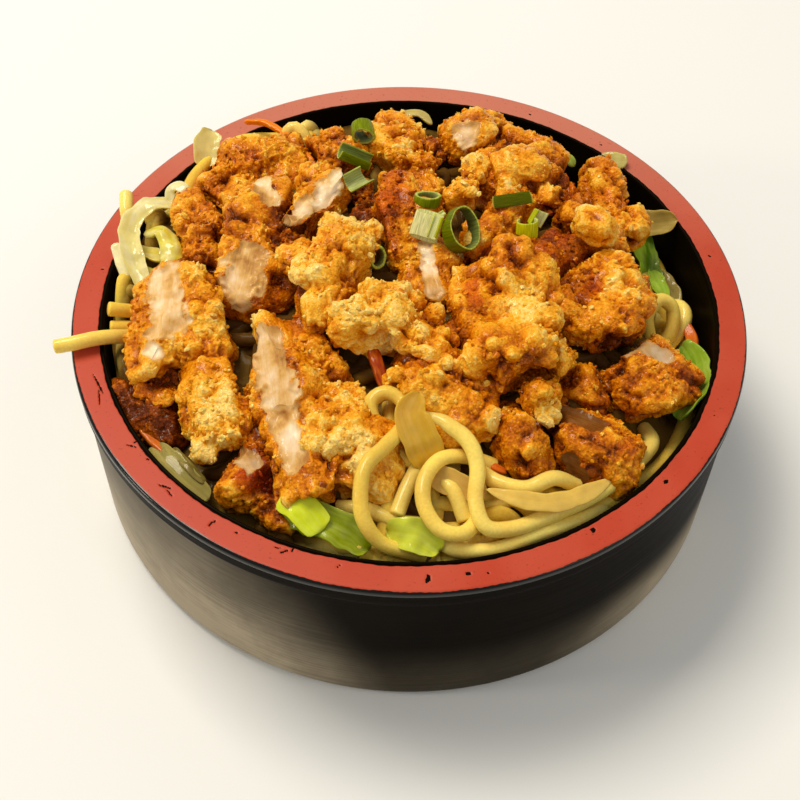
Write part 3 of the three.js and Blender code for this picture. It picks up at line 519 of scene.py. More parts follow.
# A block's squareness is the power n of its rounded form, and a slice keeps a little of what it
# cuts off. Each size of lump has its size and height in mm, and points stand CRUST_SPACING apart.
# Where two pieces touch, each gives way by JOINT_DEPTH.
SQUARENESS = 2.5
SLICE_SOFTNESS = 0.12
LUMP_SIZE = 9.5
LUMP_HEIGHT = 6
BULGE_SIZE = 22
BULGE_HEIGHT = 4
CRUST_SPACING = 0.42
POP_SIZE = 5.4
POP_HEIGHT = 2.6
GRIT_SIZE = 2.4
GRIT_HEIGHT = 1.4
GRAIN_SIZE = 1.15
GRAIN_HEIGHT = 0.65
TORN_HEIGHT = 0.9
JOINT_DEPTH = 1.5


def lattice_value(i, j, k, seed):
    """A fixed value from 0 to 1 for each point of a unit lattice: the fraction of a large sine."""
    wave = np.sin(i * 127.1 + j * 311.7 + k * 74.7 + seed * 53.3) * 43758.5453
    return wave - np.floor(wave)


def smooth_noise(p, seed):
    """Noise from -1 to 1: lattice values blended between their points by t*t*(3 - 2t)."""
    cell = np.floor(p)
    t = p - cell
    t = t * t * (3 - 2 * t)
    i, j, k = cell[..., 0], cell[..., 1], cell[..., 2]
    u, v, w = t[..., 0], t[..., 1], t[..., 2]
    layers = []
    for c in (0, 1):
        rows = []
        for b in (0, 1):
            left = lattice_value(i, j + b, k + c, seed)
            rows.append(left + (lattice_value(i + 1, j + b, k + c, seed) - left) * u)
        layers.append(rows[0] + (rows[1] - rows[0]) * v)
    return 2 * (layers[0] + (layers[1] - layers[0]) * w) - 1


def unit(rows):
    """Each row at length 1."""
    return rows / np.linalg.norm(rows, axis=-1, keepdims=True)


def block_directions(divisions):
    """Unit directions over the six faces of a cube, each a grid opened out by the tangent so
    that its steps are even, welded along the edges, with its quads facing outwards."""
    axes = [np.tan(np.linspace(-1, 1, n + 1) * np.pi / 4) for n in divisions]
    points, quads, count = [], [], 0
    for axis in range(3):
        first, second = (axis + 1) % 3, (axis + 2) % 3
        for side in (-1, 1):
            u, v = np.meshgrid(axes[first], axes[second], indexing="ij")
            face = np.zeros(u.shape + (3,))
            face[..., axis], face[..., first], face[..., second] = side, u, v
            corners = grid_quads(u.shape[0], u.shape[1], False) + count
            quads.append(corners[:, ::-1] if side > 0 else corners)
            points.append(face.reshape(-1, 3))
            count += u.size
    points, quads = np.vstack(points), np.vstack(quads)
    _, kept, welded = np.unique(np.round(points, 6), axis=0, return_index=True, return_inverse=True)
    return unit(points[kept]), welded.ravel()[quads]


def point_normals(points, quads):
    """The outward direction at each point: the sum of the crossed diagonals of its quads."""
    a, b, c, d = (points[quads[:, k]] for k in range(4))
    face = np.cross(c - a, d - b)
    total = np.zeros_like(points)
    for k in range(4):
        for axis in range(3):
            total[:, axis] += np.bincount(quads[:, k], face[:, axis], len(points))
    return total / (np.linalg.norm(total, axis=1, keepdims=True) + 1e-12)


def popped_domes(p, seed):
    """Round lumps crowded together, from 0 in the creases to 1: each cell of a unit lattice has
    one dome h sqrt(1 - (d / r)^2) at a shifted place, and log(1 + sum(exp(9 h) - 1)) / 9 melts
    them into each other."""
    cell = np.floor(p)
    total = np.ones(len(p))
    for i in (-1, 0, 1):
        for j in (-1, 0, 1):
            for k in (-1, 0, 1):
                at = cell + [i, j, k]
                shift = np.stack([lattice_value(*at.T, seed + m) for m in (1, 2, 3)], -1)
                reach = 0.6 + 0.4 * shift[:, 0]
                away = ((p - at - 0.1 - 0.8 * shift) ** 2).sum(1) / reach ** 2
                total += np.expm1(9 * (0.55 + 0.45 * shift[:, 1]) * np.sqrt(np.maximum(0, 1 - away)))
    return np.log(total) / 9


def piece_frame(ends, deep):
    """A piece's axes as rows, along it, to its side and up, with its length and middle."""
    start, end = np.array(ends[0], float), np.array(ends[1], float)
    length = np.linalg.norm(end - start)
    along = (end - start) / length
    side = unit(np.cross([0, 0, 1], along))
    up = np.cross(along, side)
    return np.stack([along, side, up]), length, (start + end) / 2 - up * deep / 2


def piece_reach(points, piece, axes, length, middle):
    """How far points are from a piece's middle: 1 on its plain rounded block, less inside."""
    local = (points - middle) @ axes.T / (np.array([length, piece["wide"], piece["deep"]]) / 2)
    local[:, 1:] /= (1 - piece.get("pinch", 0) * np.clip(local[:, 0], -1, 1))[:, None]
    return (np.abs(local) ** SQUARENESS).sum(1) ** (1 / SQUARENESS)


def patch_share(points, patches, seed):
    """1 inside any of the long round patches, with a ragged edge, and 0 outside."""
    shown = np.zeros(len(points))
    ragged = 0.35 * smooth_noise(points / 3.0, seed + 80) + 0.18 * smooth_noise(points / 1.2, seed + 81)
    for start, end, radius in patches:
        start, end = np.array(start, float), np.array(end, float)
        t = np.clip((points - start) @ (end - start) / max(1e-6, (end - start) @ (end - start)), 0, 1)
        away = np.linalg.norm(points - start - t[:, None] * (end - start), axis=1) / radius
        shown = np.maximum(shown, smoothstep(1.45, 0.6, away + ragged))
    return shown


def chicken_surface(piece, seed):
    """A lumpy rounded block. Its rounded form is |x|^n + |y|^n + |z|^n = 1 stretched to the
    piece's size, and its points move out from the middle by two sizes of lump, then down to
    the flat cut face. Over that, popped lumps, grit, grain and torn ridges stand out along its
    normals, and it sinks where it meets another piece. Also gives lightness, redness, bare meat
    and how dark the meat is at each point, from 0 to 1, with painted shade in the lightness (in
    the creases, at joins and on a shaded piece) and in the meat (at joins), and the point's place
    along, across and up the piece in mm."""
    axes, length, middle = piece_frame(piece["ends"], piece["deep"])
    half = np.array([length, piece["wide"], piece["deep"]]) / 2
    directions, quads = block_directions([max(6, int(2 * h / CRUST_SPACING)) for h in half])
    q = directions * ((np.abs(directions) ** SQUARENESS).sum(1) ** (-1 / SQUARENESS))[:, None]
    narrow = 1 - piece.get("pinch", 0) * q[:, 0]
    p = q * half
    p[:, 1:] *= narrow[:, None]
    out = unit(q / half)
    lumps = LUMP_HEIGHT * smooth_noise(p / LUMP_SIZE, seed)
    lumps += BULGE_HEIGHT * smooth_noise(p / BULGE_SIZE, seed + 50)
    p = p * (1 + lumps / (p * out).sum(1))[:, None]
    # What lies past the cut face is pressed down to it.
    if "slice" in piece:
        face = np.array([0, piece["slice"][0], piece["slice"][1]])
        level = piece["slice"][2] * np.abs(face * half).sum()
        over = p @ face - level
        pressed = np.where(over > 0, (level + SLICE_SOFTNESS * over) / np.maximum(p @ face, 1e-6), 1)
        p = p * pressed[:, None]
    world_points = middle + p @ axes
    meat = patch_share(world_points, piece.get("bare", []), seed)
    skin = patch_share(world_points, piece.get("skin", []), seed + 3)
    bright = patch_share(world_points, piece.get("gold", []), seed + 6)
    normal = point_normals(p, quads)
    # Popped lumps and sandy grit come in patches, and smooth skin has less of both.
    warp = np.stack([smooth_noise(p / 3.3, seed + 60 + k) for k in range(3)], -1)
    bent = p + warp
    even = (1 - piece.get("smooth", 0)) * (1 - 0.75 * skin)
    patchy = smoothstep(-0.6, 0.3, smooth_noise(p / 9, seed + 70)) * even
    sandy = smoothstep(-0.35, 0.3, smooth_noise(p / 5, seed + 72)) * even
    pop = popped_domes(bent / POP_SIZE, seed + 10)
    grit = popped_domes((bent + 0.4 * warp) / GRIT_SIZE, seed + 20)
    grain = popped_domes((p + 0.3 * warp) / GRAIN_SIZE, seed + 30)
    torn = (1 - np.abs(smooth_noise(bent / 2.4, seed + 34))) ** 4
    torn *= smoothstep(0.0, 0.5, smooth_noise(p / 7, seed + 35))
    torn += 0.3 * (1 - np.abs(smooth_noise(bent / 1.2, seed + 36))) ** 4
    crust = 1 - meat
    edge = 4 * meat * crust
    relief = (piece["pop"] * POP_HEIGHT * (0.35 + 0.65 * patchy) * (pop - 0.62)
              + GRIT_HEIGHT * (0.25 + 0.75 * sandy) * (grit - 0.6)
              + GRAIN_HEIGHT * (0.1 + 0.9 * sandy) * (grain - 0.6) + TORN_HEIGHT * torn * even)
    fibre = smooth_noise(p / [5, 1.3, 1.3], seed + 40)
    p = p + normal * (crust * relief + meat * (0.14 * fibre - 0.7) + 0.6 * edge)[:, None]
    world_points = middle + p @ axes
    # Where it meets another piece it sinks, so that the join is a crease, and it is darkened there as
    # painted shade.
    joint_and_shade = np.zeros(len(p))
    for other, frame_here in zip(CHICKEN, crust_frames):
        if other is not piece:
            touching = smoothstep(1.34, 1.04, piece_reach(world_points, other, *frame_here))
            joint_and_shade = np.maximum(joint_and_shade, touching)
    world_points -= (JOINT_DEPTH * joint_and_shade)[:, None] * (normal @ axes)
    # Crests are paler than creases, partly fried paler and partly as painted shade in the creases.
    # Joins and shaded pieces get painted shade too, and browner pieces are redder.
    crest_and_crease_shade = (0.60 * (pop - 0.66) * (0.35 + 0.65 * patchy) + 0.28 * (grit - 0.62) * (0.3 + 0.7 * sandy)
             + 0.22 * (grain - 0.62) * (0.3 + 0.7 * sandy) + 0.18 * torn * even)
    light = (0.60 - 0.55 * (piece["brown"] - 0.35) + 1.25 * crest_and_crease_shade + 0.17 * smooth_noise(p / 8, seed + 90)
             + 0.10 * smooth_noise(p / 3, seed + 91) - 0.26 * joint_and_shade - 0.15 * skin + 0.18 * bright
             - piece.get("shaded", 0))
    red = (0.22 + 0.8 * piece["brown"] * smooth_noise(p / 10, seed + 92)
           + 0.25 * smooth_noise(p / 4, seed + 93) + piece.get("red_skin", 0.1) * skin - 0.3 * bright)
    # The meat is darkened at joins too, as painted shade.
    dark_meat = np.full(len(p), piece.get("dark_meat", 0.0)) + 0.25 * joint_and_shade
    return world_points, quads, np.clip(np.stack([light, red, meat, dark_meat], -1), 0, 1), p


crust_frames = [piece_frame(piece["ends"], piece["deep"]) for piece in CHICKEN]

# Fried flour crust: a brittle porous shell with a film of oil. It runs from dark orange in the
# creases through gold to pale gold on the popped crests, redder where the skin is under it. The
# lightness it reads also holds painted shade in the creases, at joins and on shaded pieces.
crust_material, tree = new_material("fried flour crust and chicken meat")
place = add_node(tree, "TexCoord")
state = add_node(tree, "VertexColor", layer_name="crust")
states = add_node(tree, "SeparateColor", {"Color": state})
# Grit of about 0.9 mm, and blisters of about 0.7 mm.
grit = add_node(tree, "TexNoise",
                {"Vector": place.outputs["Object"], "Scale": 1100.0, "Detail": 4.0, "Roughness": 0.6})
blister = add_node(tree, "TexVoronoi", {"Vector": place.outputs["Object"], "Scale": 1500.0})
fine = add_node(tree, "MapRange",
                {"Value": grit, "From Min": 0.3, "From Max": 0.7, "To Min": -0.15, "To Max": 0.15})
flake = add_node(tree, "MapRange",
                 {"Value": blister, "From Min": 0.1, "From Max": 0.6, "To Min": 0.05, "To Max": -0.06})
flaked = add_node(tree, "Math", {0: states.outputs["Red"], 1: flake}, operation="ADD")
light = add_node(tree, "Math", {0: flaked, 1: fine}, operation="ADD")
gold = add_node(tree, "ValToRGB", {"Fac": light})
red_share = add_node(tree, "MapRange",
                     {"Value": states.outputs["Green"], "From Min": 0.3, "From Max": 1.0, "To Max": 0.75})
reddened = add_node(tree, "Mix", {"Factor": red_share, "A": gold, "B": srgb("#F08840")}, data_type="RGBA",
                    blend_type="MULTIPLY")
# Meat fibre in streaks about 1 mm across and 7 mm long, golden where oil has soaked in.
fibre_place = add_node(tree, "VertexColor", layer_name="place")
fibre_scale = add_node(tree, "VectorMath", {0: fibre_place, 1: (0.14, 1.1, 1.1)}, operation="MULTIPLY")
fibre = add_node(tree, "TexNoise", {"Vector": fibre_scale, "Scale": 1.0, "Detail": 2.0, "Distortion": 0.5})
juice = add_node(tree, "TexNoise", {"Vector": place.outputs["Object"], "Scale": 120.0, "Detail": 4.0})
fibre_sum = add_node(tree, "Mix", {"Factor": 0.9, "A": fibre, "B": juice}, data_type="FLOAT")
fibre_step = add_node(tree, "MapRange", {"Value": fibre_sum, "From Min": 0.34, "From Max": 0.66})
meat_core = add_node(tree, "MapRange",
                     {"Value": states.outputs["Blue"], "From Min": 0.6, "From Max": 1.0, "To Min": 0.45})
flesh_light = add_node(tree, "Math", {0: fibre_step, 1: meat_core}, operation="MULTIPLY")
flesh = add_node(tree, "ValToRGB", {"Fac": flesh_light})
GOLDS = [(0.0, "#5E2400"), (0.2, "#904200"), (0.4, "#C46A02"), (0.6, "#E8940E"), (0.8, "#FABC36"),
         (1.0, "#FFDC80")]
FLESHES = [(0.0, "#B27C3E"), (0.3, "#DEB068"), (0.6, "#F0CF9E"), (1.0, "#FCECCE")]
for ramp, tones in ((gold.color_ramp, GOLDS), (flesh.color_ramp, FLESHES)):
    ramp.elements[0].color = srgb(tones[0][1])
    ramp.elements[1].color = srgb(tones[-1][1])
    for position, colour in tones[1:-1]:
        ramp.elements.new(position).color = srgb(colour)
flesh_dark = add_node(tree, "Mix", {"Factor": state.outputs["Alpha"], "A": flesh, "B": srgb("#74400E")},
                      data_type="RGBA")
torn_edge = add_node(tree, "Math", {0: states.outputs["Blue"], 1: fine}, operation="ADD")
meat_share = add_node(tree, "MapRange", {"Value": torn_edge, "From Min": 0.45, "From Max": 0.62})
mixed = add_node(tree, "Mix", {"Factor": meat_share, "A": reddened, "B": flesh_dark}, data_type="RGBA")
crumbly = add_node(tree, "Math", {0: grit, 1: blister}, operation="SUBTRACT")
height = add_node(tree, "Mix", {"Factor": meat_share, "A": crumbly, "B": fibre}, data_type="FLOAT")
crust_bump = add_node(tree, "Bump", {"Height": height, "Strength": 0.8, "Distance": 0.0003})
shine = add_node(tree, "MapRange",
                 {"Value": fibre, "From Min": 0.35, "From Max": 0.65, "To Min": 0.18, "To Max": 0.42})
surface = add_node(tree, "BsdfPrincipled",
                   {"Base Color": mixed, "Roughness": shine, "IOR": 1.16, "Coat Weight": 0.3,
                    "Coat Roughness": 0.06, "Coat IOR": 1.4, "Subsurface Weight": 0.28,
                    "Subsurface Radius": (1.0, 0.55, 0.12), "Subsurface Scale": 0.0014,
                    "Normal": crust_bump})
add_node(tree, "OutputMaterial", {"Surface": surface})

crust_points = []
for seed, piece in enumerate(CHICKEN + LOOSE_CHICKEN):
    points, quads, states_here, place = chicken_surface(piece, seed)
    crust_points.append((points, point_normals(points, quads), states_here))
    add_piece(f"fried_{piece['name']}", points, [quads], crust_material,
              [f"chicken_{piece['name']}"] if piece in CHICKEN else [],
              {"crust": states_here, "place": place})


# --- Noodle heap --------------------------------------------------------------------------
# Thick wheat noodles stir-fried in a light sauce: a packed bed that fills the tub, with a
# tangle of strands about 4 mm thick over all of it and the long loose loops of the front.

# The bed is a dome with banks along the wall: each has the angle of its middle and its half width
# in degrees, and its rise. It lies BED_DEPTH below the strands, and GAP from the tub.
GAP = 0.35
HEAP_CROWN = 65
HEAP_EDGE = 50
HEAP_RADIUS = 84
BANK_INNER = 60
BANK_OUTER = 80
BANKS = [(28, 58, -12), (155, 65, 6)]
BED_DEPTH = 3.2
BED_RINGS = 64
BED_TURNS = 220
NOODLE_RADIUS = 2.0

# Deep places between the chicken, where the strands sink and get painted shade: place, radius and depth.
HOLLOWS = [((-62, -48), 14, 4), ((-46, -67), 9, 4), ((-44, -24), 7, 4), ((46, -24), 9, 4),
           ((39, -56), 6, 3), ((-15, -26), 8, 3), ((-33, -66), 6, 3), ((11, 26), 8, 3), ((-20, 75), 14, 5),
           ((6, 78), 12, 5), ((4, 54), 6, 4), ((-14, 30), 8, 4), ((14, 42), 6, 3), ((28, -55), 5, 3),
           ((2, -66), 6, 3)]

# The strands that show, each as the points that its middle passes through.
LOOPS = [
    [[7, -59, 57], [-3, -55, 61], [-8, -49, 64], [-9, -44, 66], [-5.5, -41.5, 67], [-1, -44, 66.5],
     [-0.5, -50.5, 66], [-5, -58, 66.6], [-9.5, -64, 66.5], [-10.5, -70, 64.5], [-9.5, -75.5, 60.5],
     [-5, -78.5, 55], [5, -78.5, 50]],
    [[2.5, -47, 64.5], [6, -48.5, 66], [10.5, -51, 66.8], [15.5, -55, 65.5], [17.8, -60.5, 63],
     [17.5, -69, 60], [20, -74.5, 57.5], [26, -74, 56], [38, -68.5, 55.5], [49, -62, 55.5], [59, -52, 54],
     [64, -44, 52.5], [63, -38, 50]],
    [[22, -56, 57], [15, -56, 60.5], [9, -58, 62], [5, -64, 62], [5, -71, 60.5], [9, -76, 58],
     [14, -76.5, 57], [18, -71, 55], [17.5, -64, 54], [13, -60, 53]],
    [[8, -60, 57], [12, -64, 57.5], [15, -70, 54]],
    [[-4.5, -41, 61], [-4, -50, 60], [-3.5, -60, 58.5], [-4, -70, 55], [-5, -76, 52]],
    [[3, -59, 59], [0.5, -65, 58.5], [-1.5, -71, 57]],
    [[-16, -68, 54], [-9, -69, 55], [-2, -72, 55], [4, -71, 52]],
    [[18, -57, 57], [23, -62, 58.5], [30, -64, 59], [37, -61, 59.5], [43, -60, 55]],
    [[6, -71, 52], [12, -78, 53], [22, -78, 52.5], [33, -73.5, 53], [44, -68.5, 52.5], [52, -62, 50]],
    [[30, -74, 49], [42, -68, 51], [57, -58, 50.5], [69, -45, 48], [77, -28, 46]],
    [[-93.6, -23.2, 59.4], [-89, -22, 59.6], [-84, -20.2, 59.5], [-79, -18.4, 58.5], [-74, -16, 56]],
    [[-81.5, -9.5, 59.5], [-72, -7, 56], [-64, -4, 54]],
    [[-81, -13, 56], [-72, -11, 54]],
    [[-84, 34, 60.8], [-83, 28, 59.5], [-80, 19, 54], [-77, 8, 52]],
    [[-42, 70, 53], [-54, 64.5, 56], [-63, 53, 57], [-67, 42, 57], [-68, 30, 54]],
    [[-38.5, 55, 53], [-40.5, 63, 58], [-37.5, 66.5, 60.5], [-34, 64, 59], [-33, 60, 54]],
    [[68, -5, 48], [66.5, -1.5, 54], [70, 3, 56], [74, 3, 53], [74.5, -1, 48], [72, -4, 44]],
    [[74, 12, 43], [78, 8, 48], [79, 4, 48], [77, 0, 46], [73, -4, 42]],
]
STRAND_SPACING = 1.3
STRAND_SIDES = 12

# Filler strands stay within a radius of the middle, and their ends dip. Seen from above, one that
# comes nearer than UNDER_REACH to a loop passes UNDER_DEPTH below it.
FILLER_STRANDS = 190
FILLER_LENGTH = (45, 120)
FILLER_RADIUS = 80
END_LENGTH = 6
END_DIP = 4.5
UNDER_REACH = 5.5
UNDER_DEPTH = 4.4


def heap_height(x, y):
    """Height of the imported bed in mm: a dome, with a trough along the back right of the wall and
    a bank along the left of it."""
    r = np.hypot(x, y)
    dome = np.maximum(0, 1 - (r / HEAP_RADIUS) ** 2)
    turn = np.degrees(np.arctan2(y, x))
    bank = 0
    for angle, half_width, rise in BANKS:
        away = np.abs((turn - angle + 180) % 360 - 180)
        bank = bank + rise * np.maximum(0, 1 - (away / half_width) ** 2)
    return HEAP_EDGE + (HEAP_CROWN - HEAP_EDGE) * dome + bank * smoothstep(BANK_INNER, BANK_OUTER, r)


def inner_wall_radius(z):
    """Radius of the tub's inner wall at a height: it widens evenly from the corner to the lip."""
    t = np.clip((z - inner_corner) / (lip_foot - inner_corner), 0, 1)
    return FLOOR_RADIUS + (LIP_RADIUS - FLOOR_RADIUS) * t


def smooth_line(points, spacing):
    """A centripetal Catmull-Rom curve through points, as points at even steps of its length: on
    each span a cubic whose end slopes weigh their two neighbours by the root of their distance."""
    p = np.array(points, float)
    p = np.vstack([2 * p[0] - p[1], p, 2 * p[-1] - p[-2]])
    t = np.linspace(0, 1, 24, endpoint=False)[:, None]
    spans = []
    for a, b, c, d in zip(p[:-3], p[1:-2], p[2:-1], p[3:]):
        before, here, after = (math.sqrt(np.linalg.norm(v)) for v in (b - a, c - b, d - c))
        leave = here * ((b - a) / before - (c - a) / (before + here) + (c - b) / here)
        reach = here * ((c - b) / here - (d - b) / (here + after) + (d - c) / after)
        bend = 3 * (c - b) - 2 * leave - reach
        bend_back = 2 * (b - c) + leave + reach
        spans.append(b + t * (leave + t * (bend + t * bend_back)))
    fine = np.vstack(spans + [p[-2:-1]])
    reach = np.concatenate([[0], np.cumsum(np.linalg.norm(np.diff(fine, axis=0), axis=1))])
    steps = max(3, int(round(reach[-1] / spacing)))
    even = np.linspace(0, reach[-1], steps + 1)
    return np.stack([np.interp(even, reach, fine[:, k]) for k in range(3)], -1)


def shaded_share(x, y):
    """How far a place is under or close beside the chicken or in a hollow, from 0 to 1."""
    share = np.zeros_like(x)
    for piece, (axes, length, middle) in zip(CHICKEN, crust_frames):
        points = np.stack([x, y, np.full_like(x, middle[2])], -1)
        share = np.maximum(share, smoothstep(1.7, 1.15, piece_reach(points, piece, axes, length, middle)))
    for (middle_x, middle_y), reach, _ in HOLLOWS:
        share = np.maximum(share, smoothstep(1.2, 0.6, np.hypot(x - middle_x, y - middle_y) / reach))
    return share


def tube_caps(rows, columns):
    """The two many-sided faces that close the ends of a grid of points that goes around."""
    section = np.arange(columns)
    return np.array([section[::-1], (rows - 1) * columns + section])


def strand_surface(line, thickness):
    """A round strand along a line: p(s, a) = c(s) + r(s) (cos a side(s) + sin a up(s)). The
    radius falls to nothing at both ends as (1 - t^4)^(1/4), so they are cut bluntly."""
    tangent = unit(np.gradient(line, axis=0))
    reach = np.array([1.0, 0.92, 0.7, 0.38])
    start = line[0] - np.outer(reach * thickness[0] * 0.4, tangent[0])
    stop = line[-1] + np.outer(reach[::-1] * thickness[-1] * 0.4, tangent[-1])
    middle = np.vstack([start, line, stop])
    way = np.vstack([np.repeat(tangent[:1], 4, 0), tangent, np.repeat(tangent[-1:], 4, 0)])
    cap = (1 - reach ** 4) ** 0.25
    r = np.concatenate([cap * thickness[0], thickness, cap[::-1] * thickness[-1]])
    r[0] = r[-1] = 0.02
    side = unit(np.cross([0.05, 0.02, 1], way))
    up = np.cross(way, side)
    a = full_turn(STRAND_SIDES)
    circle = np.cos(a)[None, :, None] * side[:, None] + np.sin(a)[None, :, None] * up[:, None]
    points = middle[:, None] + r[:, None, None] * circle
    quads = grid_quads(len(middle), STRAND_SIDES, True)
    return points.reshape(-1, 3), quads, tube_caps(len(middle), STRAND_SIDES)


def strands_mesh(lines, seed):
    """Many strands as one mesh, each a little uneven in thickness, with a tint for each."""
    all_points, all_quads, all_caps, tints = [], [], [], []
    count = 0
    for number, line in enumerate(lines):
        uneven = smooth_noise(line / 11.0, seed + number % 7)
        points, quads, caps = strand_surface(line, NOODLE_RADIUS * (1 + 0.07 * uneven))
        all_points.append(points)
        all_quads.append(quads + count)
        all_caps.append(caps + count)
        tints.append(np.full(len(points), lattice_value(number, 3, 5, seed)))
        count += len(points)
    points = np.vstack(all_points)
    points += 0.10 * smooth_noise(points / 1.7, seed + 9)[:, None] * [0, 0, 1]
    return points, [np.vstack(all_quads), np.vstack(all_caps)], np.concatenate(tints)


# Filler strands wander over the bed: their heading drifts by slow waves, they bend along the
# wall where they reach it, and they pass under the loops.
loop_lines = [smooth_line(route, STRAND_SPACING) for route in LOOPS]
loop_points = np.vstack(loop_lines)
draw = np.random.default_rng(41)
filler = []
for number in range(FILLER_STRANDS):
    length = draw.uniform(*FILLER_LENGTH)
    s = np.arange(0, length, STRAND_SPACING)
    heading = draw.uniform(0, 2 * np.pi)
    for k in (1, 2, 3):
        swing, wave_length, phase = draw.uniform(0.3, 1.5), draw.uniform(70, 130), draw.uniform(0, 6)
        heading = heading + swing / k * np.sin(2 * np.pi * k * s / wave_length + phase)
    begin = FILLER_RADIUS * math.sqrt(draw.uniform(0, 1))
    around = draw.uniform(0, 2 * np.pi)
    x = begin * math.cos(around) + np.cumsum(np.cos(heading)) * STRAND_SPACING
    y = begin * math.sin(around) + np.cumsum(np.sin(heading)) * STRAND_SPACING
    r = np.hypot(x, y) / FILLER_RADIUS
    held = np.where(r > 0.8, 0.8 + 0.2 * np.tanh((r - 0.8) / 0.2), r) / r
    x, y = x * held, y * held
    layer = draw.uniform(-1.6, 2.2)
    bob = 0.9 * np.sin(2 * np.pi * s / draw.uniform(18, 32) + draw.uniform(0, 6))
    z = heap_height(x, y) + layer + bob - 3 * shaded_share(x, y)
    for (middle_x, middle_y), reach, depth in HOLLOWS:
        z -= depth * smoothstep(1.0, 0.3, np.hypot(x - middle_x, y - middle_y) / reach)
    z -= END_DIP * np.clip(1 - np.minimum(s, length - s) / END_LENGTH, 0, 1) ** 2
    away = np.hypot(x[:, None] - loop_points[:, 0], y[:, None] - loop_points[:, 1]) / UNDER_REACH
    under = loop_points[:, 2] - UNDER_DEPTH * np.sqrt(np.maximum(0, 1 - away ** 2)) + 99 * (away > 1)
    z = np.minimum(z, under.min(1))
    z = np.convolve(np.pad(z, 3, mode="edge"), np.ones(7) / 7, mode="valid")
    filler.append(np.stack([x, y, z], -1))

# The bed itself: rings from the middle of its top to the wall, then down and in underneath.
widest = inner_wall_radius(HEAP_EDGE + BANKS[0][2]) - GAP
ring_radius = widest * np.linspace(0, 1, BED_RINGS + 1)[1:, None]
bed_angle = full_turn(BED_TURNS)
x, y = ring_radius * np.cos(bed_angle), ring_radius * np.sin(bed_angle)
bumps = smooth_noise(np.stack([x / 4.5, y / 4.5, 0 * x], -1), 3)
top = np.stack([x, y, heap_height(x, y) - BED_DEPTH + 1.2 * bumps], -1)
foot_radii = np.array([FLOOR_RADIUS - GAP, FLOOR_RADIUS - GAP - 0.35 * FLOOR_CORNER,
                       FLOOR_RADIUS - GAP - 1.1 * FLOOR_CORNER])
foot_heights = np.array([inner_corner, FLOOR_THICKNESS + GAP + 0.3 * FLOOR_CORNER, FLOOR_THICKNESS + GAP])
foot = round_points(foot_radii[:, None], bed_angle, foot_heights[:, None])
bed_points = np.vstack([top.reshape(-1, 3), foot, [[0, 0, HEAP_CROWN - BED_DEPTH]],
                        [[0, 0, foot_heights[-1]]]])
bed_faces = [grid_quads(BED_RINGS + 3, BED_TURNS, True)[:, ::-1],
             fan_faces(len(bed_points) - 2, 0, BED_TURNS),
             fan_faces(len(bed_points) - 1, (BED_RINGS + 2) * BED_TURNS, BED_TURNS)[:, ::-1]]

# Boiled wheat noodle: dense, slightly see-through dough, smooth, straw yellow with browner stains
# of sauce. The loops on top are glossy with a film of oil and the bed is duller with sauce. Under
# and between the chicken the dough is darkened almost to black brown as painted shade.
noodle_materials = {}
for name, film in (("oiled wheat noodle", 0.45), ("stained and shaded wheat noodle", 0.08)):
    noodle_materials[name], tree = new_material(name)
    place = add_node(tree, "TexCoord")
    tint = add_node(tree, "VertexColor", layer_name="tint")
    tints = add_node(tree, "SeparateColor", {"Color": tint})
    # Stains about 9 mm across, and a mealy grain of about 0.7 mm in the dough.
    stain = add_node(tree, "TexNoise", {"Vector": place.outputs["Object"], "Scale": 110.0, "Detail": 3.0})
    grain = add_node(tree, "TexNoise", {"Vector": place.outputs["Object"], "Scale": 1400.0, "Detail": 2.0})
    dough = add_node(tree, "Mix",
                     {"Factor": tints.outputs["Red"], "A": srgb("#FDD54A"), "B": srgb("#FFE67C")},
                     data_type="RGBA")
    stain_step = add_node(tree, "MapRange",
                          {"Value": stain, "From Min": 0.45, "From Max": 0.75, "To Max": 0.4})
    stained = add_node(tree, "Mix", {"Factor": stain_step, "A": dough, "B": srgb("#E3AC3C")},
                       data_type="RGBA")
    # Painted shade: the tint's green darkens the dough towards #431F02, a little for sauce and mostly for
    # the shade under and between the chicken.
    sauced_and_shaded = add_node(tree, "Mix", {"Factor": tints.outputs["Green"], "A": stained, "B": srgb("#431F02")},
                      data_type="RGBA")
    grain_step = add_node(tree, "MapRange", {"Value": grain, "From Min": 0.3, "From Max": 0.7,
                                             "To Min": 0.93, "To Max": 1.05})
    mealy = add_node(tree, "Mix", {"Factor": 1.0, "A": sauced_and_shaded, "B": grain_step}, data_type="RGBA",
                     blend_type="MULTIPLY")
    noodle_bump = add_node(tree, "Bump", {"Height": grain, "Strength": 0.2, "Distance": 0.0001})
    oily = add_node(tree, "MapRange", {"Value": tints.outputs["Green"], "To Min": 0.24, "To Max": 0.7})
    surface = add_node(tree, "BsdfPrincipled",
                       {"Base Color": mealy, "Roughness": oily, "IOR": 1.15, "Coat Weight": film,
                        "Coat Roughness": 0.08, "Coat IOR": 1.45, "Subsurface Weight": 0.3,
                        "Subsurface Radius": (1.0, 0.6, 0.25), "Subsurface Scale": 0.0025,
                        "Normal": noodle_bump})
    add_node(tree, "OutputMaterial", {"Surface": surface})

# The bed is tinted dark all over, partly sauce and mostly painted shade, as it shows only deep in the
# gaps.
add_piece("noodle_bed", bed_points, bed_faces, noodle_materials["stained and shaded wheat noodle"],
          ["noodles"], {"tint": np.tile([0.4, 0.9], (len(bed_points), 1))})

